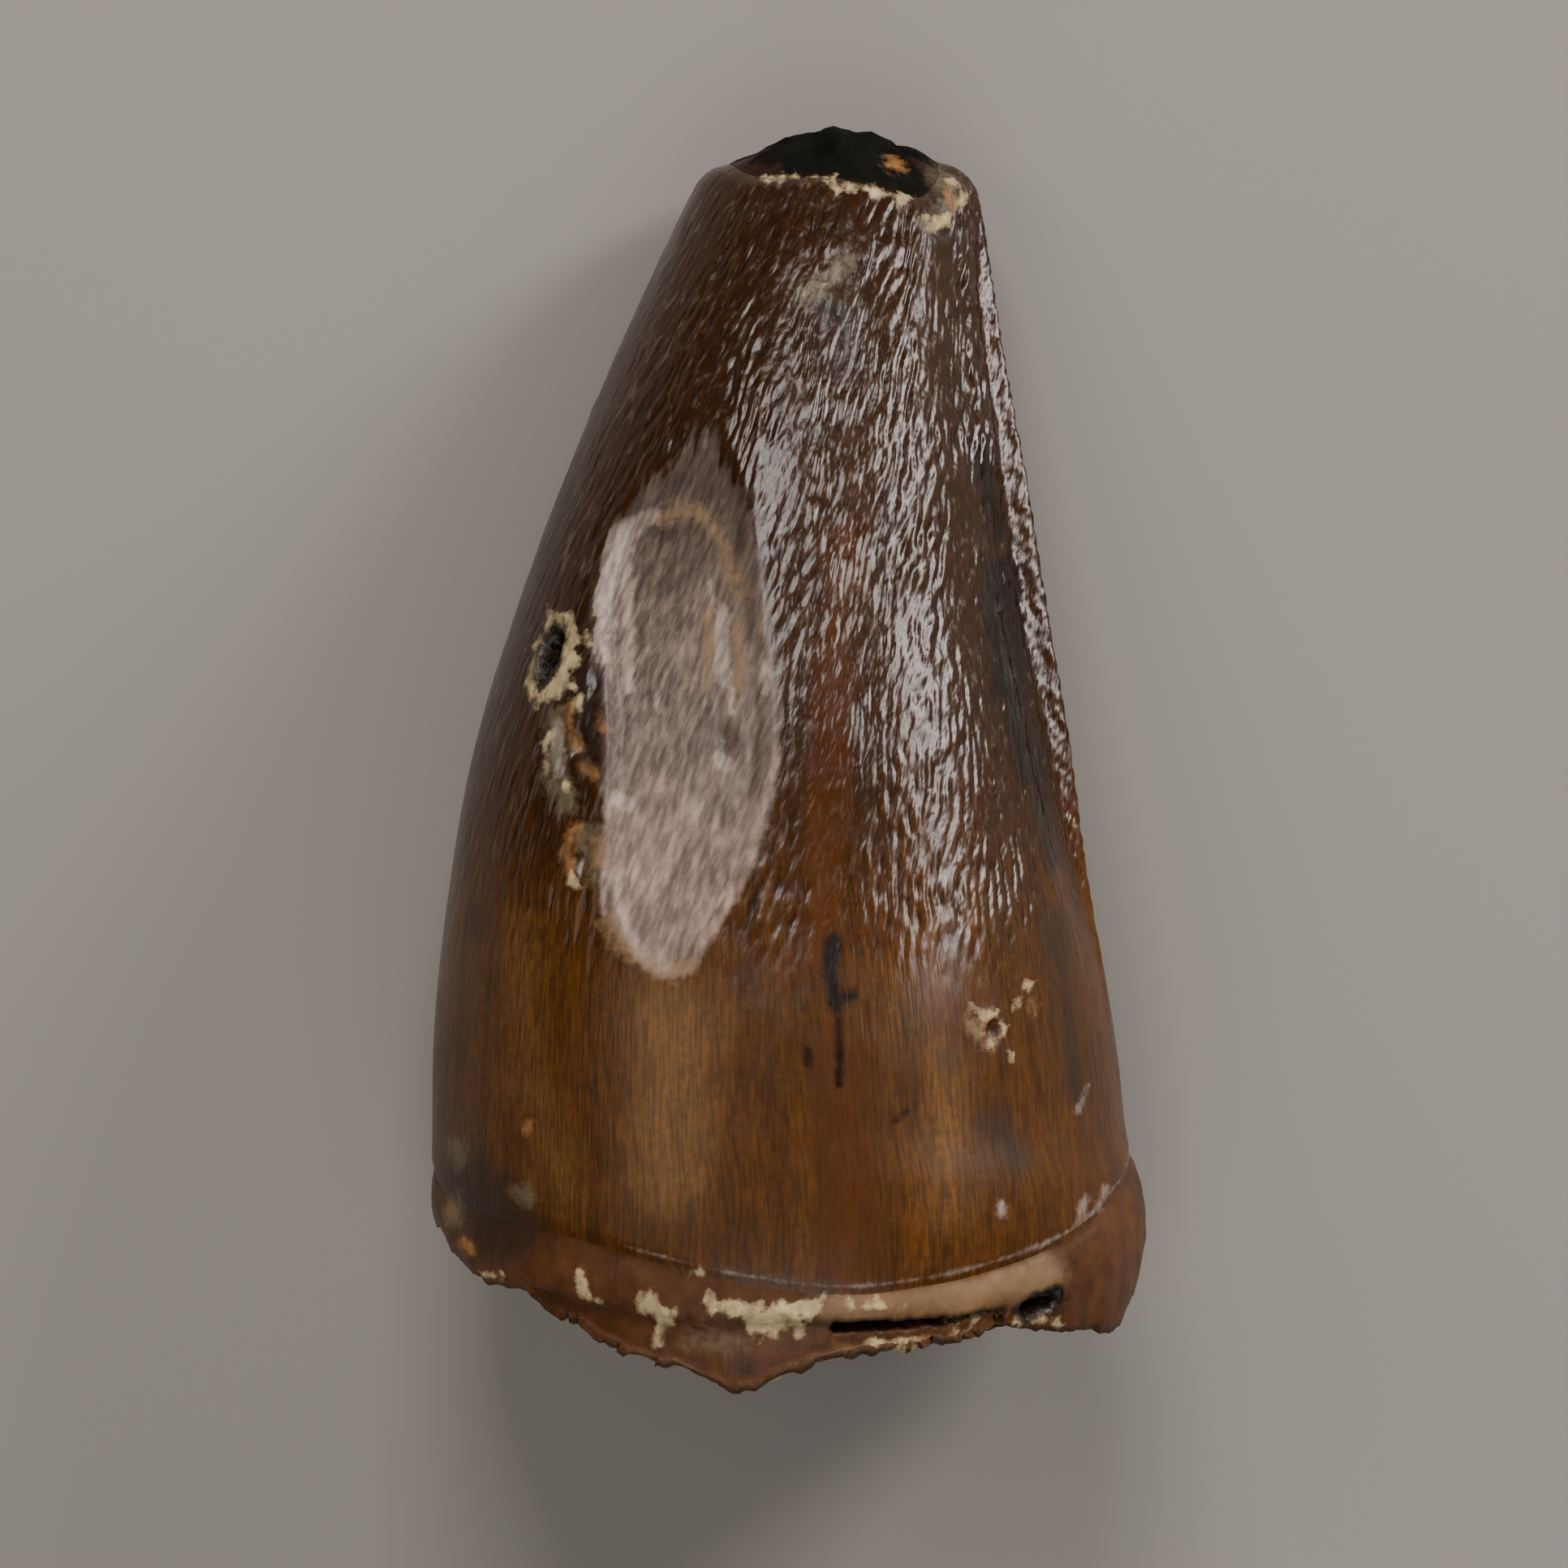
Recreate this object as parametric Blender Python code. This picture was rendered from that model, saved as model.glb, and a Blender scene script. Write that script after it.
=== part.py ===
"""A fossil crocodile tooth, one closed solid, lying on its flatter side with its tip towards +Y.

The crown is a loft of egg-shaped cross sections along Y, from the broken tip to the broken root.
Its outline from above, its height and its break lines are smooth curves through measured points.
The sections carry a cutting ridge on each flank, a worn flat on the upper left, shallow flutes and
the step where the enamel ends. At the root's broken rim the surface turns in and becomes the pulp
cavity. A sphere's mesh is laid onto that surface, one pole at the tip and the other at the cavity's
end, and the small pits are then cut with ellipsoids.

Sizes are in millimetres and turned to metres when the mesh is made. Angles run round a section in
degrees: 0 is the right flank (+X), 90 the upper face (+Z), 180 the left flank, 270 the underside.
"""

import bmesh
import bpy
import numpy as np
from mathutils import Vector

MM = 0.001
TOOTH_NAME = "crocodile_tooth"

# Outline seen from above: (y, x) of the two silhouettes
LEFT_EDGE = (
    (-16.0, -9.05), (-12.0, -9.05), (-9.0, -8.99), (-5.6, -8.77), (-2.3, -8.37), (1.0, -7.67),
    (4.3, -6.68), (7.6, -5.38), (10.9, -3.98), (13.3, -2.83), (14.7, -2.15), (15.6, -1.75),
)
RIGHT_EDGE = (
    (-16.0, 9.03), (-11.8, 9.03), (-10.9, 8.97), (-9.6, 8.68), (-8.0, 8.50), (-5.6, 8.22),
    (-2.3, 7.68), (1.0, 7.16), (4.3, 6.64), (7.6, 6.08), (10.9, 5.58), (13.3, 5.18),
    (14.2, 5.00), (15.6, 4.72),
)

# Side view: (y, z) of the crest and of the underside before it is flattened at z = 0
CREST = (
    (-16.0, 13.9), (-12.0, 14.2), (-8.0, 13.8), (-4.0, 13.0), (0.0, 12.0), (4.0, 10.7),
    (8.0, 9.1), (12.0, 7.1), (14.0, 5.9), (15.6, 4.7),
)
UNDERSIDE = (
    (-16.0, 0.75), (-14.2, 0.05), (-12.5, -0.17), (-9.0, -0.14), (-6.0, 0.06), (0.0, 0.34),
    (6.0, 0.28), (10.0, -0.02), (12.6, -0.15), (14.4, 0.15), (15.6, 0.85),
)
LOWER_SHARE = 0.44  # of a section's height lies under its widest line
LOWER_SQUARENESS = 2.4  # superellipse power of the lower half; 2 would be an ellipse

# Cutting ridges: angle, and (y, height) along the tooth
RIGHT_RIDGE_ANGLE = 9.0
RIGHT_RIDGE = (
    (-8.0, 0.0), (-5.0, 0.10), (-3.0, 0.25), (0.0, 0.48), (4.0, 0.60), (9.0, 0.52),
    (12.0, 0.36), (14.0, 0.15), (15.6, 0.04),
)
LEFT_RIDGE_ANGLE = 206.0
LEFT_RIDGE = ((-8.0, 0.0), (-4.0, 0.12), (0.0, 0.28), (9.0, 0.30), (14.0, 0.10), (15.6, 0.0))
RIDGE_UPPER_WIDTH = 0.36
RIDGE_LOWER_WIDTH = 0.24
RIDGE_GROOVE = (1.6, 0.9, 0.4)  # above the ridge: distance, width, share of the ridge's height

# Shallow flutes along the upper face: angle, half width in degrees, height
FLUTES = ((76.0, 11.0, -0.08), (55.0, 12.0, 0.09), (33.0, 9.0, -0.06), (150.0, 16.0, 0.06))
FLUTE_ENDS = (-9.0, -3.0, 10.0, 14.0)  # y where they begin, are full, are full still, and end

# Faint swells of the whole tooth: waves round it, turn for each mm along, height; then the swells along
ROUND_SWELL = (3.0, 0.35, 0.035)
LONG_SWELL = (0.9, 1.3, 0.025)  # turn for each mm, phase, height

# The worn flat: (y, x of its left border, x of its right border)
WEAR_FLAT = (
    (-5.7, -2.90, -2.75), (-4.6, -4.35, -1.55), (-2.5, -4.55, -0.50), (0.5, -4.60, -0.15),
    (3.6, -4.90, -0.45), (5.7, -4.40, -0.70), (7.8, -2.70, -1.30), (8.9, -1.85, -1.65),
)
WEAR_BED = 0.07  # how far the flat is sunk below the chord between its borders
WEAR_LIP = 0.18  # width of the slope down to it
WEAR_EASE = 0.55  # how far in from its border the flat takes to leave the round surface

# Break lines round the tooth: (angle, y)
TIP_RIM = (
    (0, 15.15), (30, 14.75), (52, 14.15), (75, 14.45), (95, 14.66), (125, 14.68), (155, 15.0),
    (180, 15.1), (225, 15.2), (270, 15.3), (315, 15.25),
)
TIP_ROUNDING = ((0, 0.90), (45, 0.35), (90, 0.18), (135, 0.30), (180, 0.60), (270, 0.40))
ENAMEL_EDGE = (
    (0, -10.0), (20, -10.9), (35, -11.9), (50, -12.6), (65, -13.1), (80, -13.35), (95, -13.1),
    (110, -12.6), (125, -12.0), (145, -11.5), (165, -10.9), (180, -10.3), (210, -10.9),
    (240, -12.0), (270, -12.6), (300, -12.3), (330, -11.0),
)
ROOT_RIM = (
    (0, -12.95), (8, -13.6), (15, -14.1), (23, -14.45), (31, -14.6), (43, -14.6),
    (49.5, -14.4), (53, -14.15), (58.5, -14.7), (66.5, -14.95), (80, -15.2), (84, -15.15),
    (88, -15.4), (94, -15.94), (99.5, -16.0), (108, -15.6), (117, -15.0), (126, -14.4),
    (137, -13.7), (150, -13.2), (165, -12.4), (180, -11.95), (225, -12.95), (245, -13.9),
    (272, -15.3), (300, -15.1), (314, -14.3), (335, -14.4), (350, -13.4),
)
ROOT_CHIPS = ((11.0, 0.4, 0.09), (23.0, 2.1, 0.06))  # ragged break: waves round, phase, height

# The step where the enamel ends, the root's swelling, and the broken tip's dome
ENAMEL_STEP = 0.12
ENAMEL_STEP_LENGTH = 0.22
ROOT_SWELLING = 0.10
RIM_TUCK = 0.10  # how far the root draws in at its broken rim
TIP_DOME_CENTRE = (1.45, 16.0, 2.75)
TIP_DOME_POWER = 1.4  # 1 would be a cone, 2 a bowl
TIP_DOME_LUMPS = 0.09

# The pulp cavity: share of the section left open at its mouth, its end, and the slanted break
CAVITY_MOUTH_SHARE = 0.77
CAVITY_END = (-0.2, -7.6, 6.9)
CAVITY_TAPER = 1.9  # higher keeps it wide for longer
BREAK_WAVES = (17.0, 0.06)  # waves round the broken face, height
BREAK_SLANT = (
    (0, 0.35), (45, 0.25), (85, 0.15), (130, 0.40), (180, 0.55), (240, 0.75), (285, 0.80),
    (330, 0.60),
)

# Pits and the slot under the root's outer layer: name, x, y, width, length, depth, lean to the right
PITS = (
    ("round_pit", -5.85, 2.65, 0.85, 1.35, 0.75, 15.0),
    ("upper_scar", -4.90, 1.40, 0.60, 1.45, 0.22, 4.0),
    ("middle_scar", -5.15, -0.05, 0.85, 1.90, 0.25, -6.0),
    ("lower_scar", -5.00, -2.65, 0.75, 1.80, 0.22, 3.0),
    ("right_pit", 5.24, -6.90, 0.75, 1.10, 0.35, 10.0),
    ("dark_crack", 1.24, -5.25, 0.36, 1.60, 0.30, -4.0),
    ("root_slot", 2.35, -14.40, 0.46, 3.00, 0.75, 88.0),
    ("slot_end", 4.60, -14.18, 0.26, 2.40, 0.55, 80.0),
    ("lobe_hollow", 6.40, -13.85, 0.68, 1.24, 0.90, 62.0),
)

# Mesh rows from pole to pole, one count for each band, and columns round the tooth
TIP_ROWS = 4
CROWN_ROWS = 25
STEP_ROWS = 1
ROOT_ROWS = 4
BREAK_ROWS = 2
CAVITY_ROWS = 6
COLUMNS = 84
CROWN_CROWDING = 1.25  # over 1 crowds the crown's rows towards the tip


def smooth_through(points, at):
    """The cubic curve through (position, value) points that never overshoots them."""
    x, y = np.array(points, float).T
    step = np.diff(x)
    chord = np.diff(y) / step
    slope = np.zeros_like(y)
    slope[0], slope[-1] = chord[0], chord[-1]
    product = chord[:-1] * chord[1:]
    same_way = product > 0
    total = np.where(same_way, chord[:-1] + chord[1:], 1.0)
    slope[1:-1] = np.where(same_way, 2 * product / total, 0.0)
    at = np.clip(at, x[0], x[-1])
    i = np.clip(np.searchsorted(x, at) - 1, 0, len(x) - 2)
    t = (at - x[i]) / step[i]
    start = (1 + 2 * t) * (1 - t) ** 2 * y[i] + t * (1 - t) ** 2 * step[i] * slope[i]
    return start + t * t * (3 - 2 * t) * y[i + 1] + t * t * (t - 1) * step[i] * slope[i + 1]


def smooth_round(points, angle):
    """The same kind of curve, closed, through (angle, value) points."""
    whole = [(a - 360, v) for a, v in points] + list(points) + [(a + 360, v) for a, v in points]
    return smooth_through(whole, np.mod(angle, 360))


def ramp(value, low, high):
    """Rises from 0 at low to 1 at high, with level ends."""
    t = np.clip((value - low) / (high - low), 0, 1)
    return t * t * (3 - 2 * t)


def angle_from(angle, centre):
    """How far angle is past centre, from -180 to 180 degrees."""
    return np.mod(angle - centre + 180, 360) - 180


def middle_and_size(y):
    """A section's middle (x, z), its half width and its height above and below the middle."""
    left = smooth_through(LEFT_EDGE, y)
    right = smooth_through(RIGHT_EDGE, y) - smooth_through(RIGHT_RIDGE, y)
    low, high = smooth_through(UNDERSIDE, y), smooth_through(CREST, y)
    middle_z = low + LOWER_SHARE * (high - low)
    return (left + right) / 2, middle_z, (right - left) / 2, high - middle_z, middle_z - low


def plain_section(y, angle, inset=0.0):
    """A section with no ridges: an ellipse above its widest line and a squarer curve below."""
    x0, z0, half, above, below = middle_and_size(y)
    c, s = np.cos(np.radians(angle)), np.sin(np.radians(angle))
    power = np.where(s < 0, 2 / LOWER_SQUARENESS, 1.0)
    x = x0 + (half - inset) * np.sign(c) * np.abs(c) ** power
    z = z0 + (np.where(s < 0, below, above) - inset) * np.sign(s) * np.abs(s) ** power
    return x, z


def ridge_height(y, angle, centre, heights):
    """A cutting ridge with a gentle upper slope, a steep lower one and a groove above it."""
    above = middle_and_size(y)[3]
    upwards = 1.0 if centre < 90 else -1.0
    across = upwards * above * np.radians(angle_from(angle, centre))
    width = np.where(across > 0, RIDGE_UPPER_WIDTH, RIDGE_LOWER_WIDTH)
    distance, groove_width, groove_share = RIDGE_GROOVE
    ridge = np.exp(-((across / width) ** 2))
    groove = groove_share * np.exp(-(((across - distance) / groove_width) ** 2))
    return smooth_through(heights, y) * (ridge - groove)


def flute_height(y, angle):
    """The shallow flutes of the upper face, with a faint swell round the whole tooth."""
    start, full, still, end = FLUTE_ENDS
    share = ramp(y, start, full) * (1 - ramp(y, still, end))
    height = sum(h * np.exp(-((angle_from(angle, a) / w) ** 2)) for a, w, h in FLUTES)
    waves, turn, round_height = ROUND_SWELL
    long_turn, phase, long_height = LONG_SWELL
    swell = round_height * np.sin(np.radians(waves * angle) + turn * y)
    return share * height + swell + long_height * np.sin(long_turn * y + phase)


def wear_flat(x, y, z):
    """Brings the worn flat down to the chord between its borders and sinks its bed a little."""
    left = smooth_through([(row[0], row[1]) for row in WEAR_FLAT], y)
    right = smooth_through([(row[0], row[2]) for row in WEAR_FLAT], y)
    x0, z0, half, above, _ = middle_and_size(y)

    def arch(at):
        return z0 + above * np.sqrt(np.clip(1 - ((at - x0) / half) ** 2, 0, 1))

    share = np.clip((x - left) / (right - left), 0, 1)
    chord = arch(left) + share * (arch(right) - arch(left))
    edge = np.minimum(x - left, right - x)
    inside = (edge > 0) & (y > WEAR_FLAT[0][0]) & (y < WEAR_FLAT[-1][0]) & (z > z0)
    bed = chord - WEAR_BED * ramp(edge, 0, WEAR_LIP)
    return np.where(inside, z + (np.minimum(z, bed) - z) * ramp(edge, 0, WEAR_EASE), z)


def crown_section(y, angle, inset=0.0):
    """A section of the outer surface as (x, z), with every relief on it and its underside flat."""
    x, z = plain_section(y, angle, inset)
    c, s = np.cos(np.radians(angle)), np.sin(np.radians(angle))
    relief = flute_height(y, angle)
    x, z = x + relief * c, z + relief * s
    x = x + ridge_height(y, angle, RIGHT_RIDGE_ANGLE, RIGHT_RIDGE)
    x = x - ridge_height(y, angle, LEFT_RIDGE_ANGLE, LEFT_RIDGE)
    z = wear_flat(x, y, z)
    return x, np.maximum(z, 0.0)


def root_rim(angle):
    """The ragged line of the root's break."""
    chips = sum(h * np.sin(np.radians(n * angle) + phase) for n, phase, h in ROOT_CHIPS)
    return smooth_round(ROOT_RIM, angle) + chips


def lerp(a, b, t):
    """The value a share t of the way from a to b."""
    return a + t * (b - a)


def tip_point(angle, t):
    """The broken tip: from the dome's middle at t = 0 to its rounded rim at t = 1."""
    rim_y = smooth_round(TIP_RIM, angle)
    rim_x, rim_z = crown_section(rim_y, angle, smooth_round(TIP_ROUNDING, angle))
    top_x, top_y, top_z = TIP_DOME_CENTRE
    lumps = TIP_DOME_LUMPS * np.sin(9 * t + np.radians(3 * angle)) * np.sin(np.pi * t)
    y = top_y - (top_y - rim_y) * t**TIP_DOME_POWER + lumps
    return lerp(top_x, rim_x, t), y, lerp(top_z, rim_z, t)


def crown_point(angle, t):
    """The enamel crown, from the tip's rim to the line where the enamel ends."""
    rim, rounding = smooth_round(TIP_RIM, angle), smooth_round(TIP_ROUNDING, angle)
    y = lerp(rim, smooth_round(ENAMEL_EDGE, angle), t**CROWN_CROWDING)
    near = np.clip(1 - (rim - y) / rounding, 0, 1)
    inset = rounding * (1 - np.sqrt(1 - near**2))
    x, z = crown_section(y, angle, inset)
    return x, y, z


def step_point(angle, t):
    """The step down from the enamel to the root."""
    y = smooth_round(ENAMEL_EDGE, angle) - ENAMEL_STEP_LENGTH * t
    x, z = crown_section(y, angle, ENAMEL_STEP * t)
    return x, y, z


def root_point(angle, t):
    """The short stretch of root from the enamel's step to the broken rim."""
    y = lerp(smooth_round(ENAMEL_EDGE, angle) - ENAMEL_STEP_LENGTH, root_rim(angle), t)
    inset = ENAMEL_STEP - ROOT_SWELLING * np.sin(np.pi * t) + RIM_TUCK * t**3
    x, z = crown_section(y, angle, inset)
    return x, y, z


def shrunken_section(y, angle, share):
    """A plain section drawn in towards its middle, as (x, z)."""
    x, z = plain_section(y, angle)
    x0, z0 = middle_and_size(y)[:2]
    return lerp(x0, x, share), lerp(z0, z, share)


def break_point(angle, t):
    """The broken face of the root's wall, from its outer edge to the cavity's mouth."""
    outer_x, outer_y, outer_z = root_point(angle, 1.0)
    inner_y = outer_y + smooth_round(BREAK_SLANT, angle)
    inner_x, inner_z = shrunken_section(inner_y, angle, CAVITY_MOUTH_SHARE)
    waves, height = BREAK_WAVES
    rough = height * np.sin(np.radians(waves * angle)) * np.sin(np.pi * t)
    y = lerp(outer_y, inner_y, t) + rough
    return lerp(outer_x, inner_x, t), y, lerp(outer_z, inner_z, t)


def cavity_point(angle, t):
    """The pulp cavity, a blunt cone from its mouth to its end."""
    _, mouth_y, _ = break_point(angle, 1.0)
    end_x, end_y, end_z = CAVITY_END
    y = lerp(mouth_y, end_y, t)
    x, z = shrunken_section(y, angle, CAVITY_MOUTH_SHARE)
    drawn = t**CAVITY_TAPER
    return lerp(x, end_x, drawn), y, lerp(z, end_z, drawn)


BANDS = (
    (tip_point, TIP_ROWS),
    (crown_point, CROWN_ROWS),
    (step_point, STEP_ROWS),
    (root_point, ROOT_ROWS),
    (break_point, BREAK_ROWS),
    (cavity_point, CAVITY_ROWS),
)


def column_angles():
    """Angles of the columns, closer together at the right ridge and on the upper face."""
    fine = np.linspace(0, 360, 3601)
    ridge = 2.6 * np.exp(-((angle_from(fine, RIGHT_RIDGE_ANGLE) / 7) ** 2))
    upper = 0.5 * np.exp(-((angle_from(fine, 95) / 70) ** 2))
    density = 1.0 + ridge + upper
    total = np.concatenate([[0], np.cumsum((density[1:] + density[:-1]) / 2)])
    return np.interp(np.arange(COLUMNS) / COLUMNS, total / total[-1], fine)


def surface_rows():
    """All points of the tooth, row by row from the tip's pole to the cavity's pole."""
    angle = column_angles()
    rows = [np.column_stack(tip_point(angle, 0.0 * angle))]
    for band, count in BANDS:
        for i in range(count):
            t = np.full_like(angle, (i + 1) / count)
            rows.append(np.column_stack(band(angle, t)))
    return np.array(rows) * MM


def new_material(name, colour, roughness):
    """A plain Principled material."""
    material = bpy.data.materials.new(name)
    material.use_nodes = True
    shader = material.node_tree.nodes["Principled BSDF"]
    shader.inputs["Base Color"].default_value = (*colour, 1.0)
    shader.inputs["Roughness"].default_value = roughness
    shader.inputs["Metallic"].default_value = 0.0
    return material


def make_tooth(collection):
    """Lays a sphere's mesh onto the tooth's surface, its rings being the rows."""
    rows = surface_rows()
    last = len(rows) - 1
    bm = bmesh.new()
    bmesh.ops.create_uvsphere(bm, u_segments=COLUMNS, v_segments=last, radius=1.0)
    for vert in bm.verts:
        down = np.arccos(np.clip(vert.co.z, -1, 1)) / np.pi
        turn = np.arctan2(-vert.co.y, vert.co.x) / (2 * np.pi)
        row, column = round(down * last), round(turn * COLUMNS) % COLUMNS
        vert.co = rows[row, column]
    bmesh.ops.recalc_face_normals(bm, faces=bm.faces)
    mesh = bpy.data.meshes.new(TOOTH_NAME)
    bm.to_mesh(mesh)
    bm.free()
    mesh.shade_smooth()
    mesh.set_sharp_from_angle(angle=np.radians(40))
    tooth = bpy.data.objects.new(TOOTH_NAME, mesh)
    collection.objects.link(tooth)
    return tooth


def point_above(x, y):
    """The point of the upper face over (x, y), and the direction that faces out there."""

    def height(at_x, at_y):
        x0, _, half, _, _ = middle_and_size(at_y)
        angle = np.degrees(np.arccos(np.clip((at_x - x0) / half, -1, 1)))
        return float(crown_section(at_y, angle)[1])

    reach = 0.3
    slope_x = (height(x + reach, y) - height(x - reach, y)) / (2 * reach)
    slope_y = (height(x, y + reach) - height(x, y - reach)) / (2 * reach)
    return Vector((x, y, height(x, y))), Vector((-slope_x, -slope_y, 1)).normalized()


def cut_pit(tooth, collection, name, x, y, width, length, depth, lean):
    """Cuts one pit with an ellipsoid whose middle lies on the surface."""
    place, outwards = point_above(x, y)
    bm = bmesh.new()
    bmesh.ops.create_uvsphere(bm, u_segments=12, v_segments=8, radius=1.0)
    bmesh.ops.scale(bm, vec=(width / 2 * MM, length / 2 * MM, depth * MM), verts=bm.verts)
    mesh = bpy.data.meshes.new(name)
    bm.to_mesh(mesh)
    bm.free()
    cutter = bpy.data.objects.new(name, mesh)
    collection.objects.link(cutter)
    turned = Vector((0, 0, 1)).rotation_difference(outwards).to_matrix().to_4x4()
    cutter.matrix_world = turned
    cutter.rotation_euler.rotate_axis("Z", -np.radians(lean))
    cutter.location = place * MM
    cutter.hide_render = True
    cutter.display_type = "WIRE"
    cut = tooth.modifiers.new(name, "BOOLEAN")
    cut.operation = "DIFFERENCE"
    cut.object = cutter
    cut.solver = "EXACT"


def main():
    for old in list(bpy.data.objects):
        bpy.data.objects.remove(old)
    parts = bpy.data.collections.new("fossil_crocodile_tooth")
    cutters = bpy.data.collections.new("cutters")
    for collection in (parts, cutters):
        bpy.context.scene.collection.children.link(collection)
    tooth = make_tooth(parts)
    tooth.data.materials.append(new_material("fossil_enamel", (0.115, 0.048, 0.016), 0.32))
    for pit in PITS:
        cut_pit(tooth, cutters, *pit)


main()
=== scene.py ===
"""A fossil crocodile tooth with its finished surface, lying in a plain studio.

The CAD solid gives the form. Here the same form is worked out again on a fine grid, and its surface
gets what the solid leaves plain: enamel wrinkles, the worn flat's bed and lips, pits, cracks, scars,
sediment and ragged breaks. Lengths in the tables are in millimetres, in the CAD model's frame: +Y
towards the tip, +Z up, z = 0 where the tooth lies. Angles run round a cross section in degrees: 0 is
the right flank (+X), 90 the upper face (+Z), 180 the left flank and 270 the underside.
"""

from functools import partial
from types import SimpleNamespace

import bpy
import numpy as np
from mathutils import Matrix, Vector


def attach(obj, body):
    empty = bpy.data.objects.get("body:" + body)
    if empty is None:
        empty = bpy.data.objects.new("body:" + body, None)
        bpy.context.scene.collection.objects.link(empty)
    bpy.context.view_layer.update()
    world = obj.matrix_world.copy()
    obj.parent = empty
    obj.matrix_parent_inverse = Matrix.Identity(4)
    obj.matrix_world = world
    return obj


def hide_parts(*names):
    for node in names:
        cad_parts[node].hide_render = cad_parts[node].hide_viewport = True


bl_info = {
    "name": "Fossil Crocodile Tooth",
    "version": (1, 0, 0),
    "blender": (4, 5, 0),
    "location": "View3D > Sidebar > Fossil Tooth",
    "description": "A fossil crocodile tooth's finished surface, and a plain studio to see it in",
    "category": "Add Mesh",
}

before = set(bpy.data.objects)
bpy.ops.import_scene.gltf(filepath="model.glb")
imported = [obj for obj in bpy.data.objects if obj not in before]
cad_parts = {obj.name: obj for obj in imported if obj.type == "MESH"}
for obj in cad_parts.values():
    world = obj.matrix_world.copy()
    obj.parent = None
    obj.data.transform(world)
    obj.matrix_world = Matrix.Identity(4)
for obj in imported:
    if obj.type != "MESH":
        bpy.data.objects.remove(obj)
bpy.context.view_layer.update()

MM = 0.001
TOOTH_NODE = "crocodile_tooth"

# Outline seen from above: (y, x) of the two silhouettes
LEFT_EDGE = (
    (-16, -9.05), (-12, -9.05), (-9, -8.99), (-5.6, -8.77), (-2.3, -8.37), (1, -7.67), (4.3, -6.68),
    (7.6, -5.38), (10.9, -3.98), (13.3, -2.83), (14.7, -2.15), (15.6, -1.75),
)
RIGHT_EDGE = (
    (-16, 9.03), (-11.8, 9.03), (-10.9, 8.97), (-9.6, 8.68), (-8, 8.5), (-5.6, 8.22), (-2.3, 7.68),
    (1, 7.16), (4.3, 6.64), (7.6, 6.08), (10.9, 5.58), (13.3, 5.18), (14.2, 5), (15.6, 4.72),
)

# Side view: (y, z) of the crest and of the underside before it is flattened at z = 0
CREST = (
    (-16, 13.9), (-12, 14.2), (-8, 13.8), (-4, 13), (0, 12), (4, 10.7), (8, 9.1), (12, 7.1), (14, 5.9),
    (15.6, 4.7),
)
UNDERSIDE = (
    (-16, 0.75), (-14.2, 0.05), (-12.5, -0.17), (-9, -0.14), (-6, 0.06), (0, 0.34), (6, 0.28),
    (10, -0.02), (12.6, -0.15), (14.4, 0.15), (15.6, 0.85),
)
LOWER_SHARE = 0.44  # where the widest line is, as a share of a section's height
LOWER_SQUARENESS = 2.4  # of the curve below it, where 2 is an ellipse

# Cutting ridges: angle, (y, height), and 1 where a larger angle is further up, or else -1
RIGHT_RIDGE_ANGLE = 9
RIGHT_RIDGE = (
    (-8, 0), (-5, 0.1), (-3, 0.25), (0, 0.48), (4, 0.6), (9, 0.52), (12, 0.36), (14, 0.15), (15.6, 0.04),
)
LEFT_RIDGE = ((-8, 0), (-4, 0.12), (0, 0.28), (9, 0.3), (14, 0.1), (15.6, 0))
RIDGES = ((RIGHT_RIDGE_ANGLE, RIGHT_RIDGE, 1), (206, LEFT_RIDGE, -1))
RIDGE_WIDTHS = (0.18, 0.24)  # above and below its edge
RIDGE_GROOVE = (1.15, 0.6, 0.4)  # distance above the ridge, half width, depth as a share of the ridge
GROOVE_FILL = (5.5, 8.5, 1.8)  # y where it starts and ends to fill up, and the share, past 1 a swelling
RIDGE_TICKS = (0.26, 0.03, 1.5)  # spacing, height and slant of the notches across a cutting edge
TICK_REACH = (0.1, 0.45)  # how far past the edge they are strongest, half width
TICKED_RIDGE = 0.3  # height of the ridge from which its notches are full

# Enamel wrinkles
WRINKLE_STRETCH = 2.1  # how much longer than wide
WRINKLE_LEAN = 0.28  # how far they lean over in a millimetre
WRINKLE_WANDER, WAVE_WANDER = 0.27, 3.0  # sideways, and of the waves' phase in radians
WRINKLE_RADII = (3.6, 5.4, 8.1)  # of the tooth, where each count of lumps fits best
RADIUS_STEP = 1.5  # how many times larger each radius is than the one before
LUMPS_TO_A_SPACING = 1.4
LUMP_HEIGHT, WAVE_HEIGHT = 1.25, 0.3  # as shares of the wrinkles' height
WRINKLE_ENDS = (-6.5, -3.5, 13.4, 14.6)  # y where they start, are full, start to fade and are half gone
WORN_LOSS = 0.85  # share lost on the worn flat
WRINKLE_CREST = (27, 12, 0.9, 6, 8)  # where they are higher: like a loss below, but added
WRINKLE_LOSSES = (  # angle, half width in degrees, share lost, and y where the loss starts and is full
    (170, 34, 0.75, 17, 16), (79, 7, 0.8, 4, 1), (RIGHT_RIDGE_ANGLE, 5, 0.8, 17, 16), (14, 16, 0.7, 2, -3),
)

# Shallow flutes along the upper face: angle, half width in degrees, height
FLUTES = ((76, 11, -0.08), (55, 12, 0.09), (33, 9, -0.06), (150, 16, 0.06))
FLUTE_ENDS = (-9, -3, 10, 14)  # y where they start, are full, start to fade and end
ROUND_SWELL = (3, 0.35, 0.035)  # waves round the tooth, their turn in a millimetre, height
LONG_SWELL = (0.9, 1.3, 0.025)  # the same along the tooth: turn, phase, height

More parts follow.
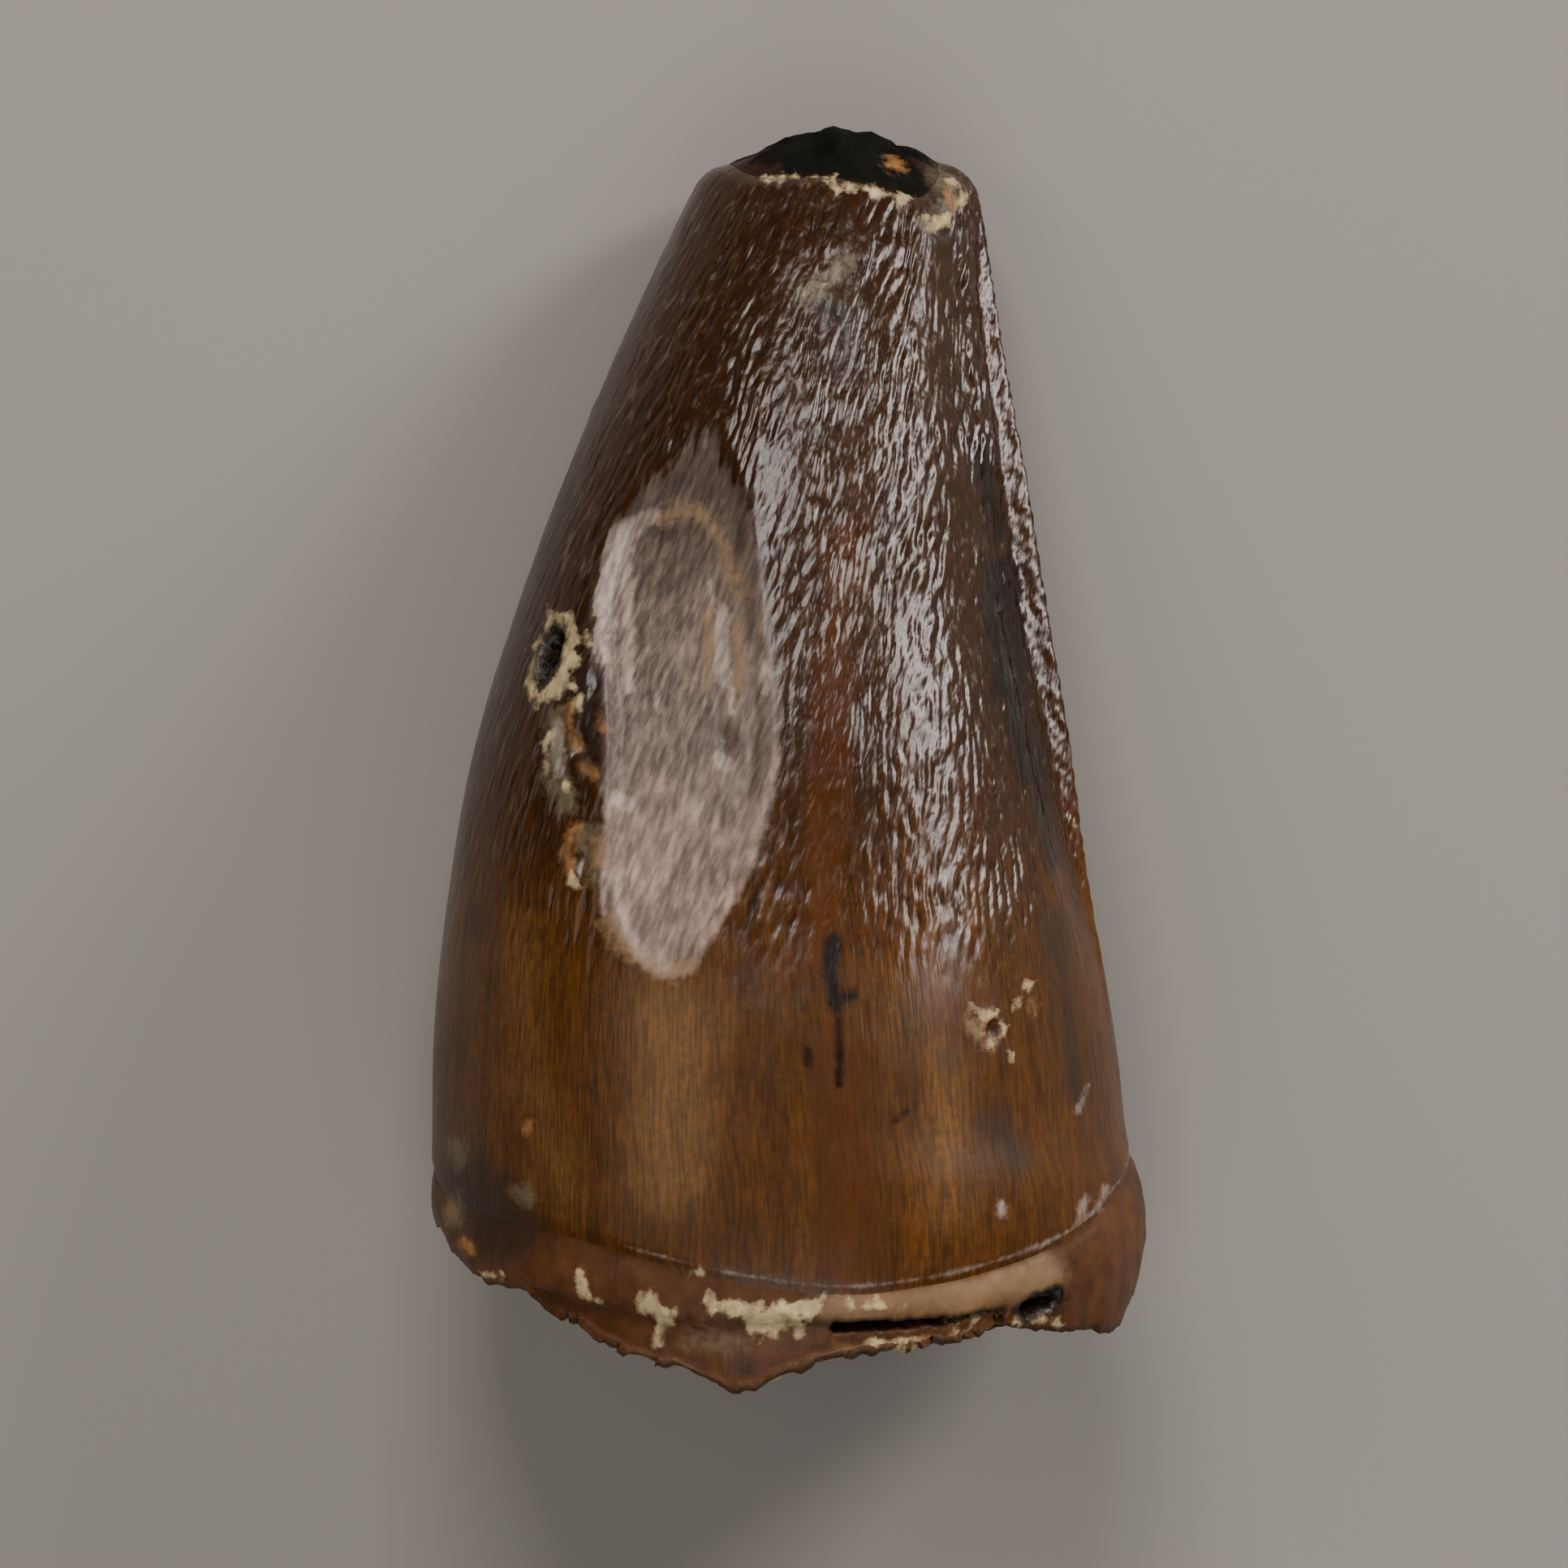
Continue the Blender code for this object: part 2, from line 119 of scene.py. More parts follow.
# The worn flat: (y, x of its left border, x of its right border), and the oval inside it
WEAR_FLAT = (
    (-5.65, -3.2, -2.55), (-5.2, -3.75, -2.15), (-4.2, -4.4, -1.55), (-2.5, -4.6, -0.7),
    (0.5, -4.6, -0.15), (3.6, -4.9, -0.45), (5.7, -4.4, -0.7), (7.8, -2.7, -1.3), (8.9, -1.85, -1.65),
)
WEAR_OVAL = (
    (-5.5, -3, -2.7), (-5, -3.65, -2.3), (-4, -4.2, -1.7), (-2.5, -4.45, -0.95), (0.5, -4.5, -0.6),
    (3.6, -4.3, -0.9), (5, -3.95, -1.6), (5.9, -3.2, -2.3), (6.1, -2.75, -2.6),
)
WEAR_BED = 0.07  # how deep the flat's bed lies
WEAR_LIP = 0.18  # how far in from its border the bed is full
WEAR_EASE = 0.55  # how far in from its border the flat takes to leave the round surface
WEAR_ENDS = (0.6, 2.4)  # how far in from its lower and upper end it takes
# The bevel is painted pale, as a highlight
WEAR_BEVEL = (2.2, -3.2, 5.8, -4.2, 0.45)  # lower end, right border, y and x on its upper border, slope
WEAR_STREAKS = 0.010  # height of the streaks on its bed
OVAL_STEP = 0.03  # how far the oval lies below the bed round it

# Break lines round the tooth: (angle, y)
TIP_RIM = (
    (0, 15.15), (30, 14.75), (52, 14.15), (75, 14.45), (95, 14.66), (125, 14.68), (155, 15), (180, 15.1),
    (225, 15.2), (270, 15.3), (315, 15.25),
)
TIP_FACE_LEFT, TIP_FACE_RIGHT = -0.45, 3.60  # between the brown shoulders of the break
TIP_FACE_TOP = 3.4  # z below which it widens
SHOULDER_SLOPE = 1.5  # how fast it widens
TIP_ROUNDING = (  # (angle, radius of the rim)
    (0, 0.9), (45, 0.35), (90, 0.18), (135, 0.3), (180, 0.6), (270, 0.4),
)
ENAMEL_EDGE = (
    (0, -10), (20, -10.9), (35, -11.9), (50, -12.6), (65, -13.1), (80, -13.35), (95, -13.1), (110, -12.6),
    (125, -12), (145, -11.5), (165, -10.9), (180, -10.3), (210, -10.9), (240, -12), (270, -12.6),
    (300, -12.3), (330, -11),
)
ROOT_RIM = (
    (0, -12.95), (8, -13.6), (15, -14.1), (23, -14.45), (31, -14.6), (43, -14.6), (49.5, -14.4),
    (53, -14.15), (58.5, -14.7), (66.5, -14.95), (80, -15.2), (84, -15.15), (88, -15.4), (94, -15.94),
    (99.5, -16), (108, -15.6), (117, -15), (126, -14.4), (137, -13.7), (150, -13.2), (165, -12.4),
    (180, -11.95), (225, -12.95), (245, -13.9), (272, -15.3), (300, -15.1), (314, -14.3), (335, -14.4),
    (350, -13.4),
)
ROOT_CHIPS = ((11, 0.4, 0.09), (23, 2.1, 0.06))  # waves round the rim, phase, height
FINE_CHIPS = (90, 0.10)  # lumps round the rim, height

# The enamel's end, the root and the broken tip
ENAMEL_STEP = 0.07  # how far the root lies below the enamel
ENAMEL_STEP_LENGTH = 0.22
ROOT_SWELLING = 0.10  # outwards, half way down the root
ROOT_LUMPS = (0.05, 0.02)  # broad and fine
ROOT_LOBE = (16, 20, -12.4, 1.8, 0.14)  # angle, half width in degrees, y, half length, height
RIM_TUCK = 0.10  # inwards, at the root's rim
TIP_DOME_CENTRE = (1.45, 16, 2.75)
TIP_DOME_POWER = 1.4  # 1 is a cone and 2 is round
TIP_DOME_LUMPS = 0.09

# The pulp cavity
CAVITY_MOUTH_SHARE = 0.77  # its mouth's width as a share of the tooth's
CAVITY_END = (-0.2, -7.6, 6.9)
CAVITY_TAPER = 1.9  # 1 is a cone, and more is blunter
FACE_SPAN, WALL_SPAN, CAVITY_SPAN = 2.5, 1.8, 4.0  # across the tip's face, the root's wall and the cavity
BREAK_LUMP_SIZE = 0.8
CLOD_SIZE = 0.9  # of the sediment in the root's break
BREAK_WAVES = (17, 0.06)  # waves round the wall's break, height
BREAK_SLANT = (  # (angle, how much further up the break's inner edge is than its outer)
    (0, 0.35), (45, 0.25), (85, 0.15), (130, 0.4), (180, 0.55), (240, 0.75), (285, 0.8), (330, 0.6),
)

# Pits on the upper face: x, y, half width, half length, depth, lean to the right in degrees
PITS = (
    (-5.93, 2.55, 0.24, 0.62, 1.1, 20), (-4.8, 1.9, 0.22, 0.62, 0.16, 6),
    (-5.16, 0.2, 0.26, 0.42, 0.22, 0), (-4.9, -0.5, 0.26, 0.4, 0.12, -6),
    (-5.05, -2.6, 0.24, 0.66, 0.16, 3), (-1.53, 0.35, 0.2, 0.32, 0.1, 0),
    (5.22, -6.95, 0.14, 0.24, 0.2, 10), (6.4, -13.85, 0.22, 0.55, 0.8, 62),
)

# The slot between the root's outer layer and the lip below it: half width, points (x, y) along it
SLOT = (
    (0.15, (1.3, -14.42), (2.6, -14.38)), (0.12, (2.6, -14.38), (4, -14.3)),
    (0.07, (4, -14.3), (5.5, -14.02)),
)
SLOT_DEPTH = 0.9
DEEP_PIT = 0.5  # deeper pits are painted black inside, as shade in the hole
CRACK_DEPTH = 0.01

# Marks on the upper face, each a half width and the points (x, y) along its middle
CRACKS = (
    (0.24, (1.22, -4.75), (1.12, -5.4)), (0.2, (1.14, -5.6), (1.28, -6.35)),
    (0.15, (1.3, -6.22), (1.66, -6.08)), (0.09, (1.34, -6.6), (1.35, -8.3)),
    (0.09, (0.57, -7.45), (0.57, -7.75)), (0.07, (2.78, -9.18), (3.05, -9)),
    (0.11, (0.95, 11.42), (1.35, 11.12)),
)
SEDIMENT = (
    (0.13, (-6.42, 1.35), (-6.28, 2.5), (-5.9, 3.45)),
    (0.22, (-5.68, 3.4), (-5.38, 2.85), (-5.52, 2.05), (-5.9, 1.5)), (0.13, (-6.3, 1.22), (-5.95, 1.38)),
    (0.08, (-5.05, 3), (-4.95, 2.72)), (0.06, (-5.4, 1.9), (-5.25, 1.45), (-5.15, 0.95)),
    (0.07, (-5.95, 0.5), (-6.12, -0.18), (-5.9, -0.57), (-5.59, -0.84)),
    (0.09, (-5.38, -3.1), (-5.34, -3.35)),
    (0.07, (4.72, -6.4), (5, -6.75), (5.35, -6.55), (5.52, -6.95), (5.25, -7.4), (5, -7.05)),
    (0.07, (5.85, -6.32), (6.14, -5.83)), (0.07, (5.6, -7.55), (5.68, -7.72)),
    (0.12, (0.45, 11.66), (0.95, 11.82)), (0.07, (-0.5, 14.62), (0.13, 14.62)),
    (0.05, (0.35, 14.64), (1.23, 14.62)), (0.09, (1.3, 14.44), (2.2, 14.3), (3.1, 14.08)),
    (0.12, (3.5, 13.64), (4.2, 13.54)), (0.16, (3.8, 13.36), (4.05, 13.6)),
    (0.06, (4.2, 14.62), (4.36, 14.45)), (0.08, (4.55, 14.3), (4.5, 14)),
    (0.14, (-5.17, -13.1), (-5.05, -13.5), (-4.75, -13.72)), (0.08, (-7.52, -13.15), (-7.22, -13.22)),
    (0.28, (-3.4, -13.85), (-3, -14.15)), (0.12, (-3.2, -14.2), (-3.28, -14.8)),
    (0.12, (-2.22, -12.9), (-2.16, -13.02)),
    (0.22, (-1.85, -13.8), (-0.9, -14), (0.2, -14), (0.75, -13.9)),
    (0.22, (-0.9, -14.1), (-0.6, -14.45), (0.2, -14.2)), (0.13, (0.3, -14.2), (0.36, -14.72)),
    (0.1, (0.8, -13.75), (1.55, -13.8)), (0.09, (2, -13.8), (2.85, -13.86)),
    (0.07, (2.2, -14.9), (3.4, -14.82)), (0.07, (4.4, -14.62), (5.3, -14.12)),
    (0.07, (5.8, -14.3), (6.9, -14.28)),
)
TAN = (
    (0.15, (-3.05, 5.95), (-2.6, 6.2), (-2.05, 6)),
    (0.11, (-2.05, 6), (-1.6, 5.3), (-1.4, 4.6), (-1.1, 3.95)),
    (0.1, (-1.95, 3.6), (-1.85, 2.6), (-1.95, 1.6)), (0.1, (-1.25, 3.3), (-1.15, 2.5), (-1.2, 1.4)),
    (0.2, (-4.76, -2.35), (-4.7, -2.7)),
    (0.16, (-4.48, -4.2), (-4.05, -4.85), (-3.3, -5.4), (-2.8, -5.52), (-2.35, -5.3)),
    (0.16, (-8.41, -11.5), (-8.36, -11.75)), (0.13, (4.7, -6.75), (5.05, -7.25)),
)
# Pale marks: etched and rubbed spots, and painted glints such as the white streaks on the worn flat
PALE_AND_GLINTS = (
    (0.06, (-4.43, -2.73), (-4.59, -3.3), (-4.59, -3.83), (-4.54, -4.1)),
    (0.07, (-4.5, -0.95), (-4.48, -1.5)), (0.18, (-4.25, -1.15), (-3.85, -1.35)),
    (0.07, (-1.66, 3.35), (-1.72, 2)), (0.06, (-1.33, 1.48), (-1.36, 1)),
    (0.16, (-1.6, 3.6), (-1.55, 1.8)), (0.14, (-4, 4.6), (-3.95, 1.6)),
    (0.2, (-1.66, -0.18), (-1.48, -0.34)), (0.06, (-1.95, 4.4), (-1.8, 3.8)),
    (0.07, (-3.3, 1.6), (-3.2, 1.1)), (0.07, (-0.55, 2.3), (-0.5, 1.5)),
    (0.14, (-5.75, 0.7), (-5.7, -0.5)), (0.1, (5.4, -11.3), (5.44, -11.6)),
    (0.04, (7.35, -9.1), (7.65, -8.4)), (0.07, (7.4, -11.65), (7.6, -11.2)),
    (0.07, (7.9, -11.5), (8.1, -11)),
)
RUST = (
    (0.07, (-4.66, 0.95), (-4.55, 0.6)), (0.08, (-5.38, 1.25), (-5.45, 0.6), (-5.25, 0.1)),
    (0.12, (-5.1, -0.3), (-4.75, -0.55)), (0.11, (-5.3, -1.93), (-5.48, -2.5), (-5.4, -3.05)),
    (0.08, (-6.48, -9.35), (-6.48, -9.52)), (0.16, (-8.1, -12.4), (-7.98, -12.55)),
    (0.17, (2.7, 15.06), (2.95, 15)), (0.08, (4.15, 14.25), (4.3, 13.95)),
    (0.1, (6.25, -6.3), (6.29, -6.45)), (0.1, (-3.1, -14.35), (-2.95, -14.45)),
    (0.1, (1.25, -14.95), (2.1, -15)), (0.08, (3.6, -14.78), (4.3, -14.62)),
)
SMUDGES = (
    (0.8, (-8, -10.9), (-7, -12)), (0.3, (-5.05, 2), (-5, 0.2)), (0.16, (-1.52, 0.55), (-1.5, 0.15)),
    (0.18, (-7.82, -4.1), (-7.82, -4.6)), (0.17, (4, -7.6), (4.02, -7.8)),
    (0.28, (1.05, 11.25), (1.6, 10.9), (1.5, 9.8)), (0.35, (5.25, -9.3), (5.8, -10.2)),
    (0.25, (3.7, 14.5), (4, 13.95)), (0.18, (3.6, 13.05), (4.5, 13.15)), (0.25, (6.9, -4.2), (7.3, -8.6)),
)
DUST = (
    (0.16, (0.45, 11.6), (0.95, 11.76), (1.15, 12), (1.6, 12.5)),
    (0.15, (3.8, 14.8), (4.3, 14.2), (3.9, 13.6)), (0.14, (-2.4, -14.75), (-1.2, -14.85)),
    (0.25, (-5.75, 0.9), (-5.85, -0.5), (-5.5, -1.3)), (0.22, (-4.95, -2.1), (-4.95, -3)),
    (0.16, (-8.35, -9.9), (-8.25, -10.3)), (0.14, (-8.4, -11.3), (-8.35, -11.8)),
    (0.14, (-6.7, -11), (-6.45, -11.2)),
)
# Painted sheen: lighter dull brown where the lower crown shines softly, and on its lower left to lighten
# it
PAINTED_SHEEN = (
    (0.9, (-2.7, -6.6), (-2.9, -10.6)), (0.35, (-6.6, -4.5), (-6.4, -8.5), (-5.6, -11)),
    (0.2, (3.9, -7.8), (4.1, -11.6)),
)
COLLAR = ((0.42, (1.2, -13.75), (4.6, -13.55), (6.4, -13.1)),)
AMBER = ((0.45, (1.5, 5.5), (1.3, 3), (1.25, 0), (0.8, -5)), (0.8, (1.4, -7.5), (1.6, -12.6)))
# Painted shade: a near black band beside the right cutting ridge, where its groove lies in shade
GROOVE_SHADE = (
    (0.2, (4.9, 8), (5.4, 5.5)), (0.5, (5.45, 4.6), (5.7, 1.6)), (0.32, (5.8, 1.2), (6.25, -0.6)),
    (0.2, (6.35, -0.8), (6.75, -2.8)),
)
# Painted shade: a gap at the tip's break, laid black
TIP_GAP = ((0.2, (3.05, 14.45), (3.3, 14.4)),)

# The ledge in front of the root's lower end: (x, y), and how far the surface drops past it
ROOT_LEDGE = (
    (-6.4, -13.4), (-5, -13.75), (-3.1, -14.1), (-1.5, -14.25), (0.2, -14.2), (0.95, -14.2), (4, -14.2),
    (5.5, -14),
)
ROOT_LEDGE_DROP = 0.22

# Grid: rows in each band from the tip to the cavity's end, and columns round the tooth
TIP_ROWS, CROWN_ROWS, STEP_ROWS, ROOT_ROWS, BREAK_ROWS, CAVITY_ROWS = 12, 148, 3, 14, 6, 6
COLUMNS = 524
CROWN_CROWDING = 1.08  # the crown's rows are a little closer together towards the tip
PLAIN_CROWDING = 0.85  # density of the columns
RIDGE_CROWDING = (2.2, 8)  # added at the cutting ridge, half width in degrees
UPPER_CROWDING = (2.6, 92, 80, 30)  # added on the upper face: its middle, half width and soft border

# Noise and marks
MEAN_RADIUS = 6.5  # where noise and grain round the tooth have their true width
NOISE_GAIN = 1.5  # brings its range to about -1 to 1
FAR = 9.0  # a distance past any mark's edge
FACING_UP = 0.05  # the least z of a normal on the upper face

# Finishes
GRAIN_STRETCH = 14  # how much longer than wide the fibres are
RELIEF_UNIT = 0.02  # height of the finest relief
MINERAL_IOR = 1.5
GRAINY_FROM = 0.6  # roughness above which a layer is grainy

# Studio
FLOOR_HALF = 600  # half the length of its side
LIGHT_DISTANCE = 300
LIGHT_AIM = (0, 0, 6)
VIEW_MIDDLE = (-0.03, -0.80, 7.0)
VIEW_WIDTH = 39.8
SENSOR_WIDTH = 36.0
CLIP_START = 5


def linear(hex_colour):
    """An sRGB hex colour as three linear values."""
    srgb = np.array([int(hex_colour[i : i + 2], 16) for i in (1, 3, 5)]) / 255
    return tuple(np.where(srgb <= 0.04045, srgb / 12.92, ((srgb + 0.055) / 1.055) ** 2.4))


def length_property(name, description, default):
    """A length in metres, given here in millimetres."""
    return bpy.props.FloatProperty(
        name=name, description=description, default=default * MM, min=0.0, unit="LENGTH", precision=6
    )


def colour_property(name, description, default):
    """An opaque colour with an sRGB hex default."""
    start = (*linear(default), 1.0)
    return bpy.props.FloatVectorProperty(
        name=name, description=description, default=start, size=4, subtype="COLOR", min=0.0, max=1.0
    )


def power_property(name, description, default):
    """A light's power in watts."""
    return bpy.props.FloatProperty(
        name=name, description=description, default=default, min=0.0, unit="POWER"
    )


class ToothSizes(bpy.types.PropertyGroup):
    """Sizes of the tooth's fine relief"""

    wrinkle_spacing: length_property("Wrinkle spacing", "Distance between enamel wrinkles", 0.30)
    wrinkle_height: length_property("Wrinkle height", "Height of the strongest enamel wrinkles", 0.080)
    sediment_thickness: length_property("Sediment", "Thickness of the sediment crusts", 0.04)
    break_roughness: length_property("Break roughness", "Relief of the broken tip and root", 0.10)


class ToothColours(bpy.types.PropertyGroup):
    """Colours of the tooth's finishes and marks, some of them painted shade, sheen and glints"""

    enamel: colour_property("Enamel", "Deep amber brown of the mineralised enamel", "#4f2f08")
    # Painted shade: the dark laid in the furrows between the wrinkles
    enamel_furrow_shade: colour_property("Dark enamel", "Dark red-brown between the wrinkles", "#220f04")
    enamel_warm: colour_property("Warm enamel", "Redder clouds in the enamel", "#552f0b")
    enamel_upper: colour_property("Upper enamel", "Darker brown between the upper wrinkles", "#241108")
    enamel_amber: colour_property("Amber enamel", "Clear amber along the middle", "#4f2705")
    worn: colour_property("Worn enamel", "Grey mauve of the worn flat", "#73645b")
    worn_dark: colour_property("Worn enamel, top", "Darker grey of its upper end", "#4b4039")
    worn_pale: colour_property("Worn enamel, foot", "Paler pink of its lower end", "#9a857a")
    # Pinkish grey of etched and rubbed places, also used for painted glints and the bevel's painted
    # highlight
    pale_and_glint: colour_property("Pale etching", "Pinkish grey of etched and rubbed places", "#cdbdb2")
    tan: colour_property("Tan lips", "Tan lips of the worn flat and of the root's collar", "#8f7454")
    root: colour_property("Root", "Brown of the root's outer layer", "#54331a")
    dentine: colour_property("Dentine", "Brown of the broken dentine", "#553c23")
    # Near black of the tip's break itself, and painted shade inside the cavity
    fracture_and_shade: colour_property("Fracture", "Near black of the tip's break and the cavity", "#0c0d08")
    sediment: colour_property("Sediment", "Cream sediment left in breaks and pits", "#dcc596")
    dust: colour_property("Dust", "Grey-green film of clay in hollows", "#7f795e")
    rust: colour_property("Rust", "Orange iron stain", "#a87848")
    # Black of real mineral stain in the cracks, and painted shade in deep pits, the slot, the tip's gap
    # and beside the cutting ridge
    stain: colour_property("Stain", "Black mineral stain in cracks and pits", "#100a06")
    smudge: colour_property("Smudges", "Dark grey clouds near the root", "#281f19")
    # Painted sheen: the lighter brown laid where the lower crown shines softly
    painted_sheen: colour_property("Film", "Dull brown film on the lower crown", "#735029")


class StudioSettings(bpy.types.PropertyGroup):
    """The floor's colour, the lamps' power and the camera's lens"""

    floor: colour_property("Floor", "Pale matt board under the tooth", "#9c9994")
    right_power: power_property("Right light", "Power of the light on the right", 0.62)
    edge_power: power_property("Edge light", "Power of the low light that the cutting ridge catches", 0.14)
    beyond_power: power_property("Far light", "Power of the light beyond the tip", 0.56)
    root_power: power_property("Root light", "Power of the large soft light beyond the root", 0.32)
    left_power: power_property("Left sheen", "Power of the faint panel high on the left", 0.10)
    lens: bpy.props.FloatProperty(
        name="Lens", description="Focal length on a sensor 36 mm wide", default=400.0, unit="CAMERA"
    )


def smooth_through(points, at):
    """The cubic curve through (position, value) points that never overshoots them: its slope at a point
    is the harmonic mean of the slopes to the points beside it, or level where those turn round."""
    x, y = np.array(points, float).T
    step = np.diff(x)
    chord = np.diff(y) / step
    slope = np.zeros_like(y)
    slope[0], slope[-1] = chord[0], chord[-1]
    product = chord[:-1] * chord[1:]
    same_way = product > 0
    total = np.where(same_way, chord[:-1] + chord[1:], 1.0)
    slope[1:-1] = np.where(same_way, 2 * product / total, 0.0)
    at = np.clip(at, x[0], x[-1])
    i = np.clip(np.searchsorted(x, at) - 1, 0, len(x) - 2)
    t = (at - x[i]) / step[i]
    start = (1 + 2 * t) * (1 - t) ** 2 * y[i] + t * (1 - t) ** 2 * step[i] * slope[i]
    return start + t * t * (3 - 2 * t) * y[i + 1] + t * t * (t - 1) * step[i] * slope[i + 1]


def smooth_round(points, angle):
    """The same kind of curve, closed, through (angle, value) points."""
    whole = [(a - 360, v) for a, v in points] + list(points) + [(a + 360, v) for a, v in points]
    return smooth_through(whole, np.mod(angle, 360))


def ramp(value, low, high):
    """Rises from 0 at low to 1 at high, with level ends."""
    t = np.clip((value - low) / (high - low), 0, 1)
    return t * t * (3 - 2 * t)


def lerp(a, b, t):
    """The value a share t of the way from a to b."""
    return a + t * (b - a)


def bell(value, width):
    """1 at 0, falling off smoothly over the width on both sides."""
    return np.exp(-((value / width) ** 2))


def angle_from(angle, centre):
    """How far angle is past centre, from -180 to 180 degrees."""
    return np.mod(angle - centre + 180, 360) - 180


def noise(u, v, round_cells, seed):
    """Gradient noise from about -1 to 1 with one cell a unit: each lattice corner has a random slope,
    and the four slopes round a point are blended. It repeats in u after round_cells cells."""
    deepest = 512
    turns = np.random.default_rng(seed).random((deepest, round_cells)) * 2 * np.pi
    column, row = np.floor(u).astype(int), np.floor(v).astype(int)
    du, dv = u - column, v - row

    def corner(right, down):
        """The slope of one of the four corners, followed to the point."""
        turn = turns[(row + down) % deepest, (column + right) % round_cells]
        return np.cos(turn) * (du - right) + np.sin(turn) * (dv - down)

    su, sv = ramp(du, 0, 1), ramp(dv, 0, 1)
    near = lerp(corner(0, 0), corner(1, 0), su)
    far = lerp(corner(0, 1), corner(1, 1), su)
    return NOISE_GAIN * lerp(near, far, sv)


def layered_noise(u, v, round_cells, seed, layers=3):
    """Noise with finer layers added, each half as high and half as large as the one before."""
    return sum(
        noise(u * 2**k, v * 2**k, round_cells * 2**k, seed + k) / 2**k for k in range(layers)
    )


def middle_and_size(y):
    """A section's middle (x, z), its half width, and its height above and below the middle."""
    left = smooth_through(LEFT_EDGE, y)
    right = smooth_through(RIGHT_EDGE, y) - smooth_through(RIGHT_RIDGE, y)
    low, high = smooth_through(UNDERSIDE, y), smooth_through(CREST, y)
    middle_z = low + LOWER_SHARE * (high - low)
    return (left + right) / 2, middle_z, (right - left) / 2, high - middle_z, middle_z - low


def plain_section(y, angle, inset=0.0):
    """A section with no ridges: an ellipse above its widest line and a squarer curve below."""
    x0, z0, half, above, below = middle_and_size(y)
    c, s = np.cos(np.radians(angle)), np.sin(np.radians(angle))
    power = np.where(s < 0, 2 / LOWER_SQUARENESS, 1.0)
    x = x0 + (half - inset) * np.sign(c) * np.abs(c) ** power
    z = z0 + (np.where(s < 0, below, above) - inset) * np.sign(s) * np.abs(s) ** power
    return x, z


def ridge_height(y, angle, centre, heights, upwards):
    """A cutting ridge: a bell, steeper above its edge than below, less the bell of the groove above it,
    which fills up towards the tip."""
    across = upwards * middle_and_size(y)[3] * np.radians(angle_from(angle, centre))
    ridge = bell(across, np.where(across > 0, *RIDGE_WIDTHS))
    distance, width, depth = RIDGE_GROOVE
    start, end, filled = GROOVE_FILL
    groove = depth * bell(across - distance, width) * (1 - filled * ramp(y, start, end))
    return smooth_through(heights, y) * (ridge - groove)


def flute_height(y, angle):
    """The shallow flutes of the upper face, with a faint swell round the whole tooth."""
    start, full, still, end = FLUTE_ENDS
    share = ramp(y, start, full) * (1 - ramp(y, still, end))
    height = sum(h * bell(angle_from(angle, a), w) for a, w, h in FLUTES)
    waves, turn, round_height = ROUND_SWELL
    long_turn, phase, long_height = LONG_SWELL
    swell = round_height * np.sin(np.radians(waves * angle) + turn * y)
    return share * height + swell + long_height * np.sin(long_turn * y + phase)


def borders(table, y):
    """The left and right border of a worn area at y, as x."""
    left = smooth_through([(row[0], row[1]) for row in table], y)
    right = smooth_through([(row[0], row[2]) for row in table], y)
    return left, right


def depth_inside(table, x, y):
    """Distance in from the borders of a worn area, negative outside it."""
    left, right = borders(table, y)
    ends = np.minimum(y - table[0][0], table[-1][0] - y)
    return np.minimum(np.minimum(x - left, right - x), ends)


def wear_flat(x, y, z):
    """Brings the worn flat down to the chord between its borders and sinks its bed a little."""
    left, right = borders(WEAR_FLAT, y)
    x0, z0, half, above, _ = middle_and_size(y)

    def arch(at):
        """Height of the section's upper ellipse over x."""
        return z0 + above * np.sqrt(np.clip(1 - ((at - x0) / half) ** 2, 0, 1))

    share = np.clip((x - left) / (right - left), 0, 1)
    chord = arch(left) + share * (arch(right) - arch(left))
    edge = np.minimum(x - left, right - x)
    inside = (edge > 0) & (y > WEAR_FLAT[0][0]) & (y < WEAR_FLAT[-1][0]) & (z > z0)
    bed = chord - WEAR_BED * ramp(edge, 0, WEAR_LIP)
    low_end, high_end = WEAR_ENDS
    ease = ramp(edge, 0, WEAR_EASE) * ramp(y - WEAR_FLAT[0][0], 0, low_end)
    ease = ease * ramp(WEAR_FLAT[-1][0] - y, 0, high_end)
    return np.where(inside, z + (np.minimum(z, bed) - z) * ease, z)


def crown_section(y, angle, inset=0.0):
    """A section of the outer surface, with the solid's relief, before it is flattened underneath."""
    x, z = plain_section(y, angle, inset)
    c, s = np.cos(np.radians(angle)), np.sin(np.radians(angle))
    relief = flute_height(y, angle)
    x, z = x + relief * c, z + relief * s
    for centre, heights, upwards in RIDGES:
        x = x + upwards * ridge_height(y, angle, centre, heights, upwards)
    return x, y, wear_flat(x, y, z)


def root_rim(angle):
    """The ragged line of the root's break, with chips finer than the solid's."""
    chips = sum(h * np.sin(np.radians(n * angle) + phase) for n, phase, h in ROOT_CHIPS)
    lumps, height = FINE_CHIPS
    fine = height * layered_noise(angle / 360 * lumps, 0 * angle, lumps, seed=61)
    return smooth_round(ROOT_RIM, angle) + chips + fine


def tip_point(angle, t):
    """The broken tip: from the dome's middle at t = 0 to its rounded rim at t = 1."""
    rim_y = smooth_round(TIP_RIM, angle)
    rim_x, _, rim_z = crown_section(rim_y, angle, smooth_round(TIP_ROUNDING, angle))
    top_x, top_y, top_z = TIP_DOME_CENTRE
    lumps = TIP_DOME_LUMPS * np.sin(9 * t + np.radians(3 * angle)) * np.sin(np.pi * t)
    y = top_y - (top_y - rim_y) * t**TIP_DOME_POWER + lumps
    return lerp(top_x, rim_x, t), y, lerp(top_z, rim_z, t)


